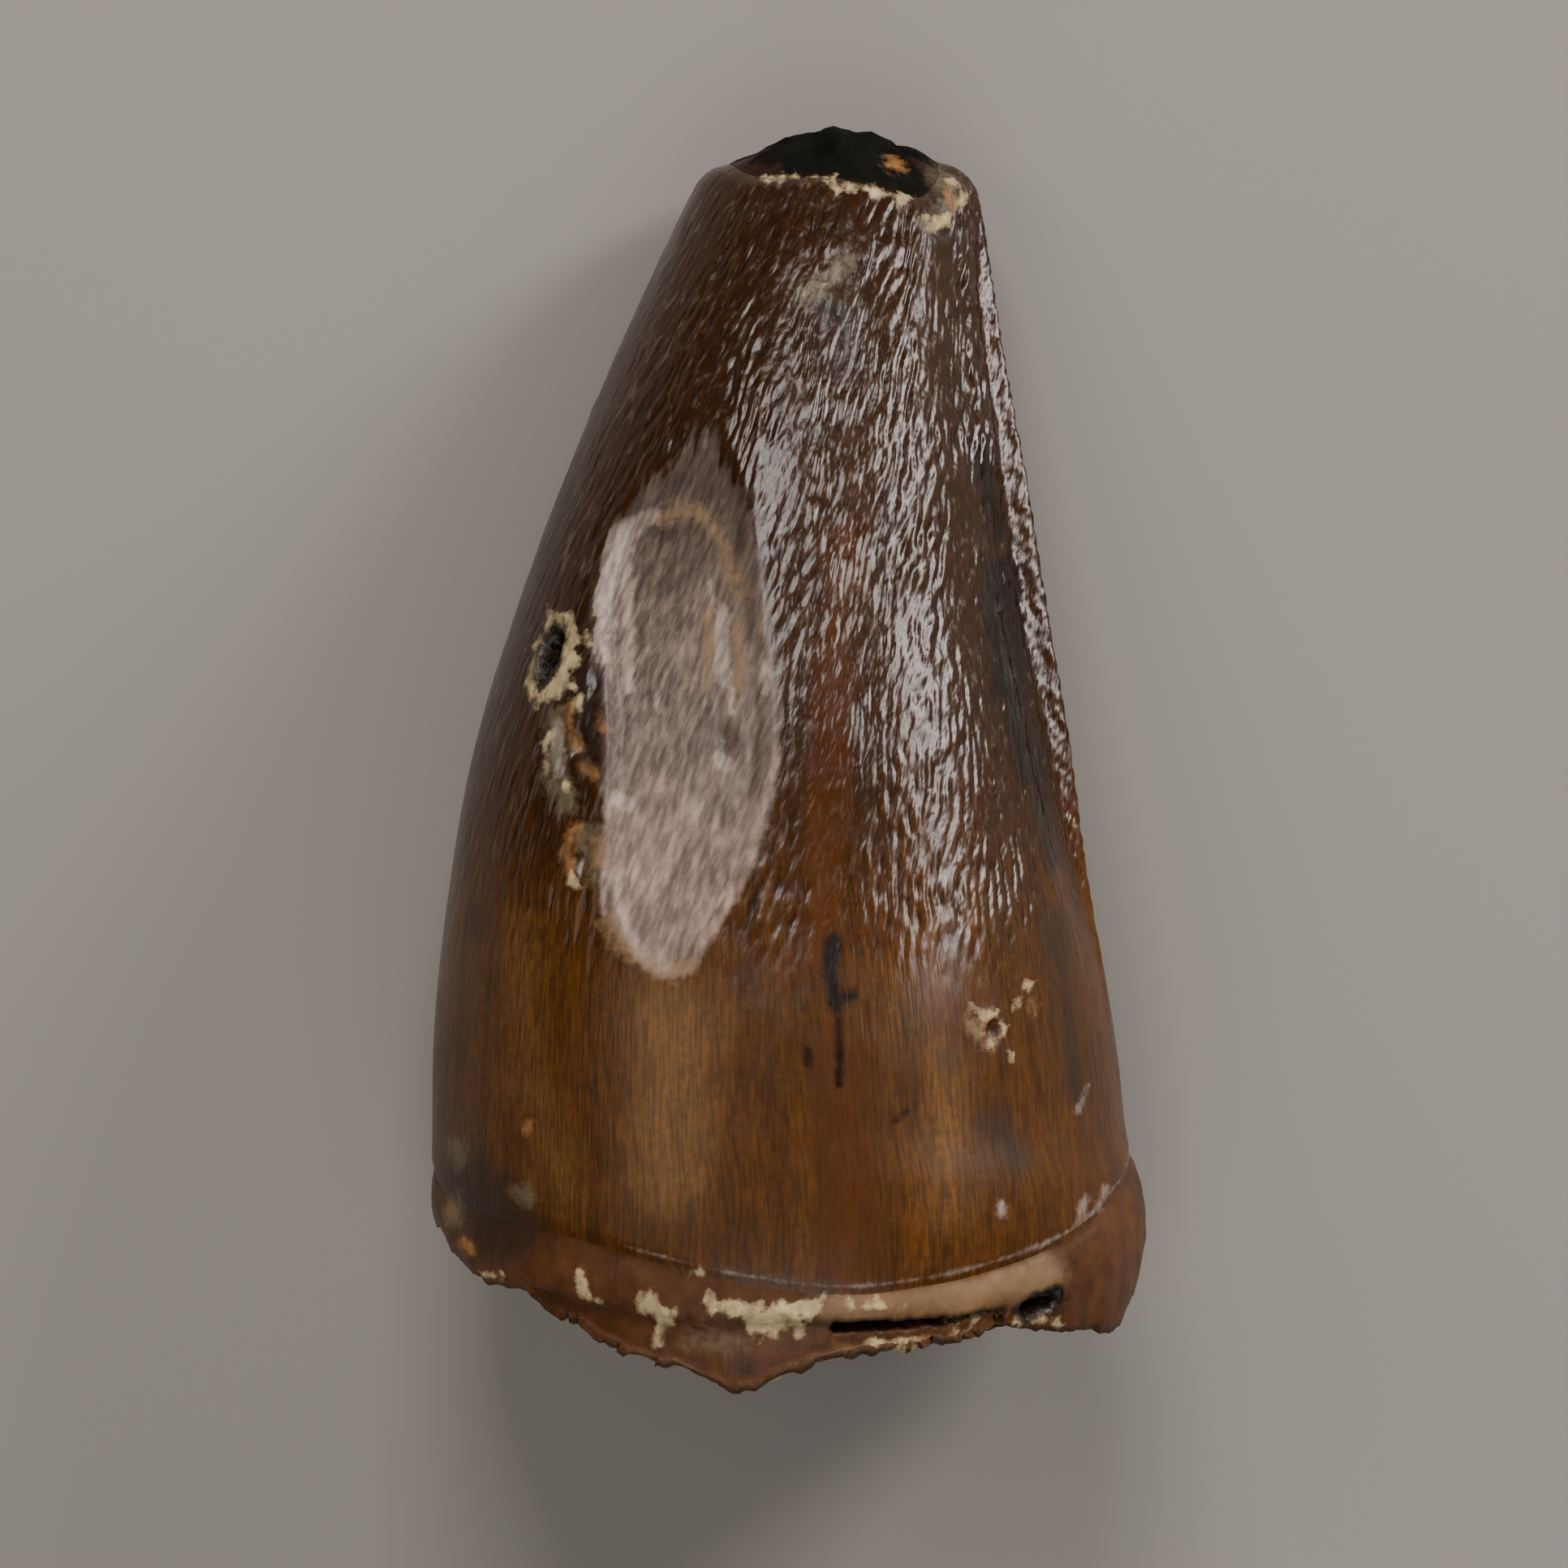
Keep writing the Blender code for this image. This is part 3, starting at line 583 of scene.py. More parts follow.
def crown_point(angle, t):
    """The enamel crown, from the tip's rim to the line where the enamel ends."""
    rim, rounding = smooth_round(TIP_RIM, angle), smooth_round(TIP_ROUNDING, angle)
    y = lerp(rim, smooth_round(ENAMEL_EDGE, angle), t**CROWN_CROWDING)
    near = np.clip(1 - (rim - y) / rounding, 0, 1)
    return crown_section(y, angle, rounding * (1 - np.sqrt(1 - near**2)))


def step_point(angle, t):
    """The step down from the enamel to the root."""
    y = smooth_round(ENAMEL_EDGE, angle) - ENAMEL_STEP_LENGTH * t
    return crown_section(y, angle, ENAMEL_STEP * t)


def root_point(angle, t):
    """The short stretch of root from the enamel's step to the broken rim."""
    y = lerp(smooth_round(ENAMEL_EDGE, angle) - ENAMEL_STEP_LENGTH, root_rim(angle), t)
    return crown_section(y, angle, ENAMEL_STEP - ROOT_SWELLING * np.sin(np.pi * t) + RIM_TUCK * t**3)


def shrunken_section(y, angle, share):
    """A plain section drawn in towards its middle, as (x, z)."""
    x, z = plain_section(y, angle)
    x0, z0 = middle_and_size(y)[:2]
    return lerp(x0, x, share), lerp(z0, z, share)


def break_point(angle, t):
    """The broken face of the root's wall, from its outer edge to the cavity's mouth."""
    outer_x, outer_y, outer_z = root_point(angle, 1.0)
    inner_y = outer_y + smooth_round(BREAK_SLANT, angle)
    inner_x, inner_z = shrunken_section(inner_y, angle, CAVITY_MOUTH_SHARE)
    waves, height = BREAK_WAVES
    y = lerp(outer_y, inner_y, t) + height * np.sin(np.radians(waves * angle)) * np.sin(np.pi * t)
    return lerp(outer_x, inner_x, t), y, lerp(outer_z, inner_z, t)


def cavity_point(angle, t):
    """The pulp cavity, a blunt cone from its mouth to its end."""
    _, mouth_y, _ = break_point(angle, 1.0)
    end_x, end_y, end_z = CAVITY_END
    y = lerp(mouth_y, end_y, t)
    x, z = shrunken_section(y, angle, CAVITY_MOUTH_SHARE)
    drawn = t**CAVITY_TAPER
    return lerp(x, end_x, drawn), y, lerp(z, end_z, drawn)


BANDS = (
    ("tip", tip_point, TIP_ROWS),
    ("crown", crown_point, CROWN_ROWS),
    ("step", step_point, STEP_ROWS),
    ("root", root_point, ROOT_ROWS),
    ("break", break_point, BREAK_ROWS),
    ("cavity", cavity_point, CAVITY_ROWS),
)


def column_angles():
    """Angles of the columns, closer together at the cutting ridge and on the upper face."""
    fine = np.linspace(0, 360, 3601)
    at_ridge, width = RIDGE_CROWDING
    density = PLAIN_CROWDING + at_ridge * bell(angle_from(fine, RIGHT_RIDGE_ANGLE), width)
    above, middle, width, soft = UPPER_CROWDING
    density = density + above * ramp(width - np.abs(angle_from(fine, middle)), -soft, soft)
    total = np.concatenate([[0], np.cumsum((density[1:] + density[:-1]) / 2)])
    return np.interp(np.arange(COLUMNS) / COLUMNS, total / total[-1], fine)


def outward(points):
    """Unit normals of a grid of points: the cross product of its steps round and along."""
    around = np.roll(points, -1, axis=1) - np.roll(points, 1, axis=1)
    along = np.gradient(points, axis=0)
    normal = np.cross(around, along)
    return normal / np.maximum(np.linalg.norm(normal, axis=-1, keepdims=True), 1e-9)


def bare_skin():
    """The tooth's surface before its fine relief: a grid of points with their angles and bands."""
    angles = column_angles()
    points, names, shares = [], [], []
    for name, place, count in BANDS:
        t = (np.arange(1, count + 1) / count)[:, None]
        points.append(np.stack(np.broadcast_arrays(*place(angles[None, :], t)), axis=-1))
        names += [name] * count
        shares.append(t)
    grid = np.concatenate(points)[:-1]
    skin = SimpleNamespace(points=grid, normals=outward(grid))
    skin.x, skin.y, skin.z = np.moveaxis(grid, -1, 0)
    skin.angle = np.broadcast_to(angles, skin.x.shape)
    skin.share = np.broadcast_to(np.concatenate(shares)[:-1], skin.x.shape)
    band = np.array(names[:-1])[:, None]
    skin.band = {name: np.broadcast_to(band == name, skin.x.shape) for name, _, _ in BANDS}
    outer = skin.band["tip"] | skin.band["crown"] | skin.band["step"] | skin.band["root"]
    skin.upper = outer & (skin.normals[..., 2] > FACING_UP)
    return skin


def oval(skin, x, y, half_width, half_length, lean):
    """Distance in millimetres inside a leaning oval on the upper face, negative outside it."""
    turn = np.radians(lean)
    dx, dy = skin.x - x, skin.y - y
    across = (dx * np.cos(turn) - dy * np.sin(turn)) / half_width
    along = (dx * np.sin(turn) + dy * np.cos(turn)) / half_length
    inside = (1 - np.hypot(across, along)) * min(half_width, half_length)
    return np.where(skin.upper, inside, -1.0)


def near_path(skin, path):
    """Distance from a path of straight stretches on the upper face."""
    nearest = np.full(skin.x.shape, FAR)
    for (ax, ay), (bx, by) in zip(path[:-1], path[1:]):
        dx, dy = bx - ax, by - ay
        share = np.clip(((skin.x - ax) * dx + (skin.y - ay) * dy) / (dx * dx + dy * dy), 0, 1)
        nearest = np.minimum(nearest, np.hypot(skin.x - ax - share * dx, skin.y - ay - share * dy))
    return np.where(skin.upper, nearest, FAR)


def strokes(skin, table):
    """The largest distance inside any of a table's round-ended strokes, negative outside them all."""
    return np.max([half_width - near_path(skin, path) for half_width, *path in table], axis=0)


def skin_noise(skin, size, seed, stretch=1.0, layers=3):
    """Layered noise over the tooth with lumps of the given size, stretched along the tooth."""
    cells = max(3, round(2 * np.pi * MEAN_RADIUS / size))
    return layered_noise(skin.angle / 360 * cells, skin.y / (size * stretch) + 40, cells, seed, layers)


def flat_noise(skin, size, seed):
    """Layered noise seen from above, with lumps of the given size."""
    return layered_noise(skin.x / size + 60, skin.y / size + 60, 128, seed)


def wrinkles(skin, spacing):
    """Lengthwise enamel wrinkles, from about -1 to 1: noise whose lumps are narrower than one spacing
    and longer than wide, with waves round the tooth whose phase wanders, so that short ridges snake and
    crowd. Three counts of lumps blend into each other along the tooth, which keeps their width as it
    tapers. They lean to the right towards the tip."""
    _, _, half, above, _ = middle_and_size(skin.y)
    radius = (half + above) / 2
    wander = WRINKLE_WANDER * skin_noise(skin, 1.6, seed=11, stretch=1.2, layers=2)
    lean = WRINKLE_LEAN * skin.y + wander
    phase = WAVE_WANDER * skin_noise(skin, 0.55, seed=13, stretch=1.8, layers=1)
    height, total = 0.0, 0.0
    for middle_radius in WRINKLE_RADII:
        distance_round = 2 * np.pi * middle_radius
        waves_round = round(distance_round / spacing)
        lumps_round = round(LUMPS_TO_A_SPACING * distance_round / spacing)
        turns = skin.angle / 360 + lean / distance_round
        row = LUMPS_TO_A_SPACING * skin.y / (WRINKLE_STRETCH * spacing) + 60
        lumps = noise(turns * lumps_round, row, lumps_round, seed=20)
        waves = np.sin(2 * np.pi * turns * waves_round + phase)
        steps_away = np.abs(np.log(radius / middle_radius)) / np.log(RADIUS_STEP)
        weight = np.clip(1 - steps_away, 0, 1) ** 3 + 1e-6
        height = height + weight * (LUMP_HEIGHT * lumps + WAVE_HEIGHT * waves)
        total = total + weight
    return height / total


def wrinkle_strength(skin, worn):
    """Where the wrinkles are strong: in patches over the upper two thirds of the crown, less on the left
    flank, in the dark valley along the middle and low on the right, and hardly on the right cutting
    ridge and the worn flat."""

    def share_near(angle, width, share, start, full):
        """A share at a place round the tooth: a bell over the angle, times a ramp along the tooth."""
        return share * bell(angle_from(skin.angle, angle), width) * ramp(skin.y, start, full)

    low, full, fade, half_gone = WRINKLE_ENDS
    patches = 0.90 + 0.50 * skin_noise(skin, 1.8, seed=31, stretch=1.6, layers=2)
    strength = patches + share_near(*WRINKLE_CREST)
    strength = strength * ramp(skin.y, low, full) * (1 - 0.5 * ramp(skin.y, fade, half_gone))
    strength = strength * (1 - WORN_LOSS * ramp(worn, -0.25, 0.15))
    for loss in WRINKLE_LOSSES:
        strength = strength * (1 - share_near(*loss))
    return np.where(skin.band["crown"], strength, 0.0)


def ticks(skin):
    """The small slanting notches across the two cutting edges."""
    spacing, height, slant = RIDGE_TICKS
    middle, width = TICK_REACH
    above = middle_and_size(skin.y)[3]
    total = 0.0
    for centre, heights, _ in RIDGES:
        across = above * np.radians(angle_from(skin.angle, centre))
        share = np.clip(smooth_through(heights, skin.y) / TICKED_RIDGE, 0, 1)
        turn = 2 * np.pi * (skin.y + slant * across) / spacing + 5.0 * skin_noise(skin, 1.2, seed=41)
        total = total + share * bell(across - middle, width) * np.sin(turn)
    return height * np.where(skin.band["crown"], total, 0.0)


def worn_relief(skin, mottle):
    """How far in from the worn flat's border each point is, how far inside the bevel at its upper left,
    which is painted pale as a highlight, and the height of its streaks and the step down to its inner
    oval."""
    wobble = 0.05 * mottle + 0.06 * skin_noise(skin, 1.0, seed=57)
    on_crown = skin.upper & skin.band["crown"]
    worn = np.where(on_crown, depth_inside(WEAR_FLAT, skin.x, skin.y) + wobble, -1.0)
    inner = depth_inside(WEAR_OVAL, skin.x, skin.y) + wobble
    streaks = skin_noise(skin, 0.16, seed=71, stretch=3.0, layers=2)
    height = WEAR_STREAKS * streaks * ramp(worn, 0, 0.2) - OVAL_STEP * ramp(inner, 0, 0.12)
    low_end, right, top_y, top_x, slope = WEAR_BEVEL
    below_top = top_y + slope * (skin.x - top_x) - skin.y
    bevel = np.min([worn, -inner, skin.y - low_end, right - skin.x, below_top], axis=0)
    return worn, np.where(worn > 0, bevel, -1.0), height


def pit_relief(skin, mottle):
    """How deep the pits, cracks and the slot go, and how far inside their dark parts each point is: the
    cracks' own stain, and painted shade in the deep pits, the slot and the tip's gap.
    """
    height, stain = 0.0, np.full(skin.x.shape, -1.0)
    for x, y, half_width, half_length, depth, lean in PITS:
        pit = oval(skin, x, y, half_width, half_length, lean) + 0.07 * mottle
        height = height - depth * ramp(pit, -0.04, 0.8 * min(half_width, half_length))
        # Painted shade: deep pits are laid black inside
        stain = np.maximum(stain, pit + 0.10 if depth > DEEP_PIT else pit - 0.30)
    crack = strokes(skin, CRACKS) + 0.03 * mottle
    height = height - CRACK_DEPTH * ramp(crack, 0, 0.15)
    # The slot is laid black too, as painted shade
    slot = strokes(skin, SLOT) + 0.05 * mottle
    height = height - SLOT_DEPTH * ramp(slot, -0.02, 0.12)
    return height, np.max([stain, crack, slot, strokes(skin, TIP_GAP)], axis=0)


def root_relief(skin, broad, mottle):
    """How far below the enamel's edge each point is, and the root's lumps, ledge and swollen lobe."""
    below_edge = smooth_round(ENAMEL_EDGE, skin.angle) - skin.y
    outer = skin.band["step"] | skin.band["root"]
    root = np.where(skin.band["break"] | skin.band["cavity"], 0.5, below_edge)
    on_root = ramp(root, 0.1, 0.5) * outer
    broad_height, fine_height = ROOT_LUMPS
    angle, width, middle, length, lobe_height = ROOT_LOBE
    lobe = lobe_height * bell(angle_from(skin.angle, angle), width) * bell(skin.y - middle, length)
    height = on_root * (broad_height * broad + fine_height * mottle + lobe)
    ledge = smooth_through(ROOT_LEDGE, skin.x) - skin.y + 0.10 * broad
    ledge = np.where((skin.x > ROOT_LEDGE[0][0]) & (skin.x < ROOT_LEDGE[-1][0]), ledge, -1.0)
    ledge = np.where(skin.upper & skin.band["root"], ledge, -1.0)
    return root, height - ROOT_LEDGE_DROP * ramp(ledge, 0, 0.15)


def break_relief(skin, roughness):
    """How far inside the tip's break, the root's break and the cavity each point is, and their rough
    relief, which is lumps in the plane of the break so that no rays run to its middle."""
    face = np.where(skin.band["tip"], (1 - skin.share) * FACE_SPAN, -1.0)
    size = BREAK_LUMP_SIZE
    lumps = layered_noise(skin.x / size + 30, skin.z / size + 30, 64, seed=81, layers=4)
    below_shoulders = SHOULDER_SLOPE * np.clip(TIP_FACE_TOP - skin.z, 0, 3) + 0.6 * lumps
    face = np.minimum(face, skin.x - TIP_FACE_LEFT + below_shoulders)
    face = np.minimum(face, TIP_FACE_RIGHT - skin.x + below_shoulders)
    broken = np.where(skin.band["root"], root_rim(skin.angle) - skin.y, -1.0)
    broken = np.where(skin.band["break"], skin.share * WALL_SPAN, broken)
    broken = np.where(skin.band["cavity"], 0.5, broken)
    # The cavity's mark, which the dentine paints near black as shade
    hollow = np.where(skin.band["cavity"], skin.share * CAVITY_SPAN, -1.0)
    rough = ramp(face, 0, 0.3) + ramp(broken, 0, 0.3) * skin.band["break"]
    height = roughness * (1.2 * rough + 0.6 * ramp(hollow, 0, 1)) * lumps
    return face, broken, hollow, height


def fine_relief(skin, sizes):
    """Height in millimetres to add along the normal, and the marks that the finishes read: furrow is the
    wrinkles' own height, and every other is a distance in millimetres inside its area."""
    mottle = skin_noise(skin, 0.35, seed=51)
    broad = skin_noise(skin, 1.4, seed=55)
    worn, bevel, worn_height = worn_relief(skin, mottle)
    pit_height, stain = pit_relief(skin, mottle)
    root, root_height = root_relief(skin, broad, mottle)
    face, broken, hollow, break_height = break_relief(skin, sizes.break_roughness / MM)
    furrow = wrinkles(skin, sizes.wrinkle_spacing / MM) * wrinkle_strength(skin, worn)
    ragged = flat_noise(skin, 0.35, seed=91)
    sediment = strokes(skin, SEDIMENT) + 0.20 * ragged - 0.03
    upwards = (skin.z - 0.6 * skin.y) / CLOD_SIZE + 60
    clods = 0.30 * layered_noise(skin.x / CLOD_SIZE + 60, upwards, 128, seed=83)
    sediment = np.where(skin.band["break"], clods - 0.06, sediment)
    sediment = np.where(skin.band["cavity"], clods - 0.14 - 0.5 * skin.share, sediment)

    height = worn_height + pit_height + root_height + break_height + ticks(skin)
    height = height + sizes.wrinkle_height / MM * 0.5 * furrow
    height = height + sizes.sediment_thickness / MM * ramp(sediment, 0, 0.10) * (0.7 + 0.8 * mottle)

    edge_line = 0.01 - np.abs(root) + 0.09 * broad - 0.15 * ramp(-skin.x, 3.0, 5.5)
    streaky = skin_noise(skin, 0.30, seed=95, stretch=2.5)
    # Among these, the broad strokes on the lower crown are a painted sheen, and the strokes beside the
    # cutting ridge are painted shade
    ragged_strokes = (
        ("painted_sheen", PAINTED_SHEEN, 0.30 * broad), ("collar", COLLAR, 0.15 * broad), ("smudge", SMUDGES, 0.08 * broad),
        ("amber", AMBER, 0.15 * broad), ("groove", GROOVE_SHADE, 0.10 * broad), ("tan", TAN, 0.12 * ragged),
        ("dust", DUST, 0.15 * ragged), ("rust", RUST, 0.08 * ragged),
    )
    marks = {name: strokes(skin, table) + edge for name, table, edge in ragged_strokes}
    marks["worn"] = worn + ramp(skin.y, 4.5, 7.5) * (0.45 * streaky - 0.30)
    # Pale marks with painted glints, the enamel's edge line, and the bevel painted pale as a highlight
    marks["pale_and_glint"] = np.max([strokes(skin, PALE_AND_GLINTS) + 0.04 * mottle, edge_line, bevel], axis=0)
    marks.update(face=face, broken=broken, hollow=hollow, sediment=sediment, stain=stain)
    marks = {name: np.clip(value, -1.0, 1.0) for name, value in marks.items()}
    marks["furrow"] = furrow
    return height, marks


def closed_mesh(name, grid, first, last):
    """A mesh over a grid whose columns go right round, with a point closing each end."""
    count, columns, _ = grid.shape
    ring = 1 + np.arange(count * columns).reshape(count, columns)
    after = np.roll(ring, -1, axis=1)
    quads = np.stack([ring[:-1], after[:-1], after[1:], ring[1:]], axis=-1).reshape(-1, 4)
    tip = np.stack([np.zeros(columns, int), after[0], ring[0]], axis=-1)
    end = np.stack([ring[-1], after[-1], np.full(columns, count * columns + 1)], axis=-1)
    points = np.concatenate([[first], grid.reshape(-1, 3), [last]])
    mesh = bpy.data.meshes.new(name)
    mesh.from_pydata(points * MM, [], quads.tolist() + tip.tolist() + end.tolist())
    mesh.shade_smooth()
    return mesh


def add_mark(mesh, name, values):
    """Stores a number or a vector for each point of a closed mesh. Its end points take the means of the
    rings beside them."""
    ends = values[0].mean(axis=0), values[-1].mean(axis=0)
    flat = np.concatenate([[ends[0]], values.reshape(-1, *values.shape[2:]), [ends[1]]])
    kind, key = ("FLOAT", "value") if values.ndim == 2 else ("FLOAT_VECTOR", "vector")
    mesh.attributes.new(name, kind, "POINT").data.foreach_set(key, flat.astype(np.float32).ravel())


def add_node(tree, kind, inputs, output=0, **settings):
    """Adds a node with its settings; each input is a value or the output linked to it. Gives back the
    node's own output, by its number or name."""
    node = tree.nodes.new(kind)
    for name, value in settings.items():
        setattr(node, name, value)
    for socket, value in inputs.items():
        if isinstance(value, bpy.types.NodeSocket):
            tree.links.new(value, node.inputs[socket])
        else:
            node.inputs[socket].default_value = value
    return node.outputs[output]


# Inputs are given by name or number. In a Map Range node 0 is the value, 1 and 2 are its range and 3
# and 4 the new one. In a Mix node 0 is the share, 2 and 3 are numbers and 6 and 7 are colours.
ATTRIBUTE, NOISE, MATH = "ShaderNodeAttribute", "ShaderNodeTexNoise", "ShaderNodeMath"
RANGE, MIX = "ShaderNodeMapRange", "ShaderNodeMix"
SOFT = {"interpolation_type": "SMOOTHSTEP"}
COLOUR = {"data_type": "RGBA", "output": 2}


def shared_textures(add):
    """What the finishes read: the place along the tooth, the wrinkles' height, and noises that run
    along the tooth, lean like its wrinkles or lie all over it. The scales of those that read the grain
    mark are per millimetre round the tooth, and the others' are per metre."""
    grain = add(ATTRIBUTE, {}, "Vector", attribute_name="grain")
    place = add("ShaderNodeTexCoord", {}, "Object")
    turned = {"Vector": place, "Rotation": (0, 0, -0.3), "Scale": (1, 8, 1)}
    leaning = add("ShaderNodeMapping", turned, vector_type="TEXTURE")
    return SimpleNamespace(
        along=add("ShaderNodeSeparateXYZ", {0: place}, "Y"),
        furrow=add(ATTRIBUTE, {}, "Fac", attribute_name="furrow"),
        streak=add(NOISE, {"Vector": grain, "Scale": 2.2, "Detail": 2.0}),
        fibre=add(NOISE, {"Vector": grain, "Scale": 16.0, "Detail": 3.0}),
        dash=add(NOISE, {"Vector": leaning, "Scale": 6500.0, "Detail": 1.5}),
        scuff=add(NOISE, {"Vector": leaning, "Scale": 6000.0, "Detail": 4.0}),
        cloud=add(NOISE, {"Vector": place, "Scale": 260.0, "Detail": 6.0, "Roughness": 0.6}),
        blotch=add(NOISE, {"Vector": place, "Scale": 1500.0, "Detail": 4.0, "Roughness": 0.6}),
        crumb=add(NOISE, {"Vector": place, "Scale": 5200.0, "Detail": 4.0, "Roughness": 0.65}),
    )


def mixed(add, share_of, low, high, most, first, second):
    """A blend from the first colour to the second as a texture rises from low to high."""
    share = add(RANGE, {0: share_of, 1: low, 2: high, 4: most}, **SOFT)
    return add(MIX, {0: share, 6: first, 7: second}, **COLOUR)


def shaded(add, colour, texture, darkest, lightest):
    """A colour made darker and lighter by a texture."""
    shade = add(RANGE, {0: texture, 1: 0.3, 2: 0.7, 3: darkest, 4: lightest}, **SOFT)
    return add(MIX, {0: 1.0, 6: colour, 7: shade}, blend_type="MULTIPLY", **COLOUR)


def laid_over(add, textures, colour, rough, layers):
    """Layers over a colour and a roughness, each with its mark, colour, roughness, how ragged and how
    soft its edge is in millimetres, and its cover. Gives back the colour, the roughness and how much of
    the surface is grainy."""
    grainy = 0.0
    for name, layer_colour, layer_rough, ragged, soft, most in layers:
        mark = add(ATTRIBUTE, {}, "Fac", attribute_name=name)
        edge = add(MATH, {0: textures.crumb, 1: 2 * ragged, 2: -ragged}, operation="MULTIPLY_ADD")
        inside = add(MATH, {0: mark, 1: edge}, operation="ADD")
        cover = add(RANGE, {0: inside, 1: -soft, 2: soft, 4: most}, **SOFT)
        colour = add(MIX, {0: cover, 6: colour, 7: layer_colour}, **COLOUR)
        rough = add(MIX, {0: cover, 2: rough, 3: layer_rough})
        if layer_rough > GRAINY_FROM:
            grainy = add(MATH, {0: grainy, 1: cover}, operation="MAXIMUM")
    return colour, rough, grainy


def new_finish(name):
    """A new material, the function that adds a node to it, and the textures that all finishes read."""
    material = bpy.data.materials.new(name)
    material.use_nodes = True
    add = partial(add_node, material.node_tree)
    return material, add, shared_textures(add)


def finish_material(material, add, textures, colour, rough, layers, specular):
    """Lays the layers over the colour and the roughness, and links them and the fine relief: leaning
    dashes on the upper crown, straight lines on the lower and grains on rough layers."""
    colour, rough, grainy = laid_over(add, textures, colour, rough, layers)
    upwards = add(RANGE, {0: textures.along, 1: -7 * MM, 2: -3 * MM, 3: 0.0}, **SOFT)
    lines = add(MATH, {0: textures.fibre, 1: 0.6}, operation="MULTIPLY")
    dashes = add(MATH, {0: textures.dash, 1: 1.2}, operation="MULTIPLY")
    lines = add(MIX, {0: upwards, 2: lines, 3: dashes})
    grains = add(MATH, {0: textures.crumb, 1: grainy}, operation="MULTIPLY")
    relief = add(MATH, {0: grains, 1: 2.0, 2: lines}, operation="MULTIPLY_ADD")
    height = {"Strength": 1.0, "Distance": RELIEF_UNIT * MM, "Height": relief}
    bump = add("ShaderNodeBump", height, "Normal")
    shader = material.node_tree.nodes["Principled BSDF"]
    for name, value in (("Base Color", colour), ("Roughness", rough), ("Normal", bump)):
        material.node_tree.links.new(value, shader.inputs[name])
    shader.inputs["IOR"].default_value = MINERAL_IOR
    shader.inputs["Specular IOR Level"].default_value = specular


def polished_enamel(colours):
    """Enamel turned to apatite stone and polished in the ground: deep amber brown with fibres along
    the tooth and clouds, painted shade in the furrows, painted glints and sheen, a grey silky worn
    flat with its bevel painted pale as a highlight, cream sediment and rust in its pits, and painted
    black shade in deep pits and beside the cutting ridge."""
    material, add, textures = new_finish("polished_enamel")

    colour = mixed(add, textures.cloud, 0.40, 0.64, 0.5, colours.enamel, colours.enamel_warm)
    colour = shaded(add, colour, textures.streak, 0.76, 1.18)
    # Painted sheen: the lower crown is lightened where it shines softly
    painted_sheen = add(ATTRIBUTE, {}, "Fac", attribute_name="painted_sheen")
    colour = mixed(add, painted_sheen, -0.80, 0.60, 0.65, colour, colours.painted_sheen)
    colour = shaded(add, colour, textures.fibre, 0.68, 1.30)
    colour = shaded(add, colour, textures.crumb, 0.82, 1.18)
    upper = shaded(add, colours.enamel_upper, textures.dash, 0.50, 1.50)
    # Painted glints: sparse pale dashes over the upper crown
    upper = mixed(add, textures.scuff, 0.56, 0.72, 0.17, upper, colours.pale_and_glint)
    colour = mixed(add, textures.along, -6 * MM, 1 * MM, 0.75, colour, upper)
    amber = add(ATTRIBUTE, {}, "Fac", attribute_name="amber")
    colour = mixed(add, amber, -0.40, 0.40, 0.6, colour, colours.enamel_amber)
    # Painted shade: darker the deeper a wrinkle's furrow
    colour = mixed(add, textures.furrow, 0.1, -0.8, 0.75, colour, colours.enamel_furrow_shade)
    duller = add(RANGE, {0: textures.along, 1: -8 * MM, 2: -4.5 * MM, 3: 0.26, 4: 0.14}, **SOFT)
    rough = add(MATH, {0: textures.blotch, 1: 0.20, 2: duller}, operation="MULTIPLY_ADD")

    worn = mixed(add, textures.along, 2 * MM, 7.5 * MM, 1.0, colours.worn, colours.worn_dark)
    worn = mixed(add, textures.along, 0.0, -4 * MM, 1.0, worn, colours.worn_pale)
    worn = shaded(add, worn, textures.cloud, 0.72, 1.28)
    worn = shaded(add, worn, textures.blotch, 0.75, 1.22)
    worn = shaded(add, worn, textures.scuff, 0.60, 1.48)
    sediment = shaded(add, colours.sediment, textures.blotch, 0.45, 1.10)
    rust = shaded(add, colours.rust, textures.blotch, 0.30, 1.20)
    pale_and_glint = shaded(add, colours.pale_and_glint, textures.scuff, 0.50, 1.15)
    layers = (
        ("worn", worn, 0.42, 0.12, 0.16, 0.88),
        ("smudge", colours.smudge, 0.40, 0.30, 0.40, 0.70),
        # Painted shade: the groove beside the cutting ridge, laid near black
        ("groove", colours.stain, 0.14, 0.20, 0.30, 0.85),
        ("dust", colours.dust, 0.55, 0.35, 0.25, 0.50),
        ("tan", colours.tan, 0.50, 0.35, 0.22, 0.75),
        # Pale etching, with painted glints and the bevel's painted highlight
        ("pale_and_glint", pale_and_glint, 0.40, 0.12, 0.10, 0.45),
        ("rust", rust, 0.55, 0.20, 0.15, 0.85),
        ("sediment", sediment, 0.85, 0.20, 0.10, 0.88),
        # Real stain in the cracks, and painted shade in the deep pits and the tip's gap
        ("stain", colours.stain, 0.28, 0.14, 0.12, 0.96),
    )
    finish_material(material, add, textures, colour, rough, layers, specular=0.4)
    return material


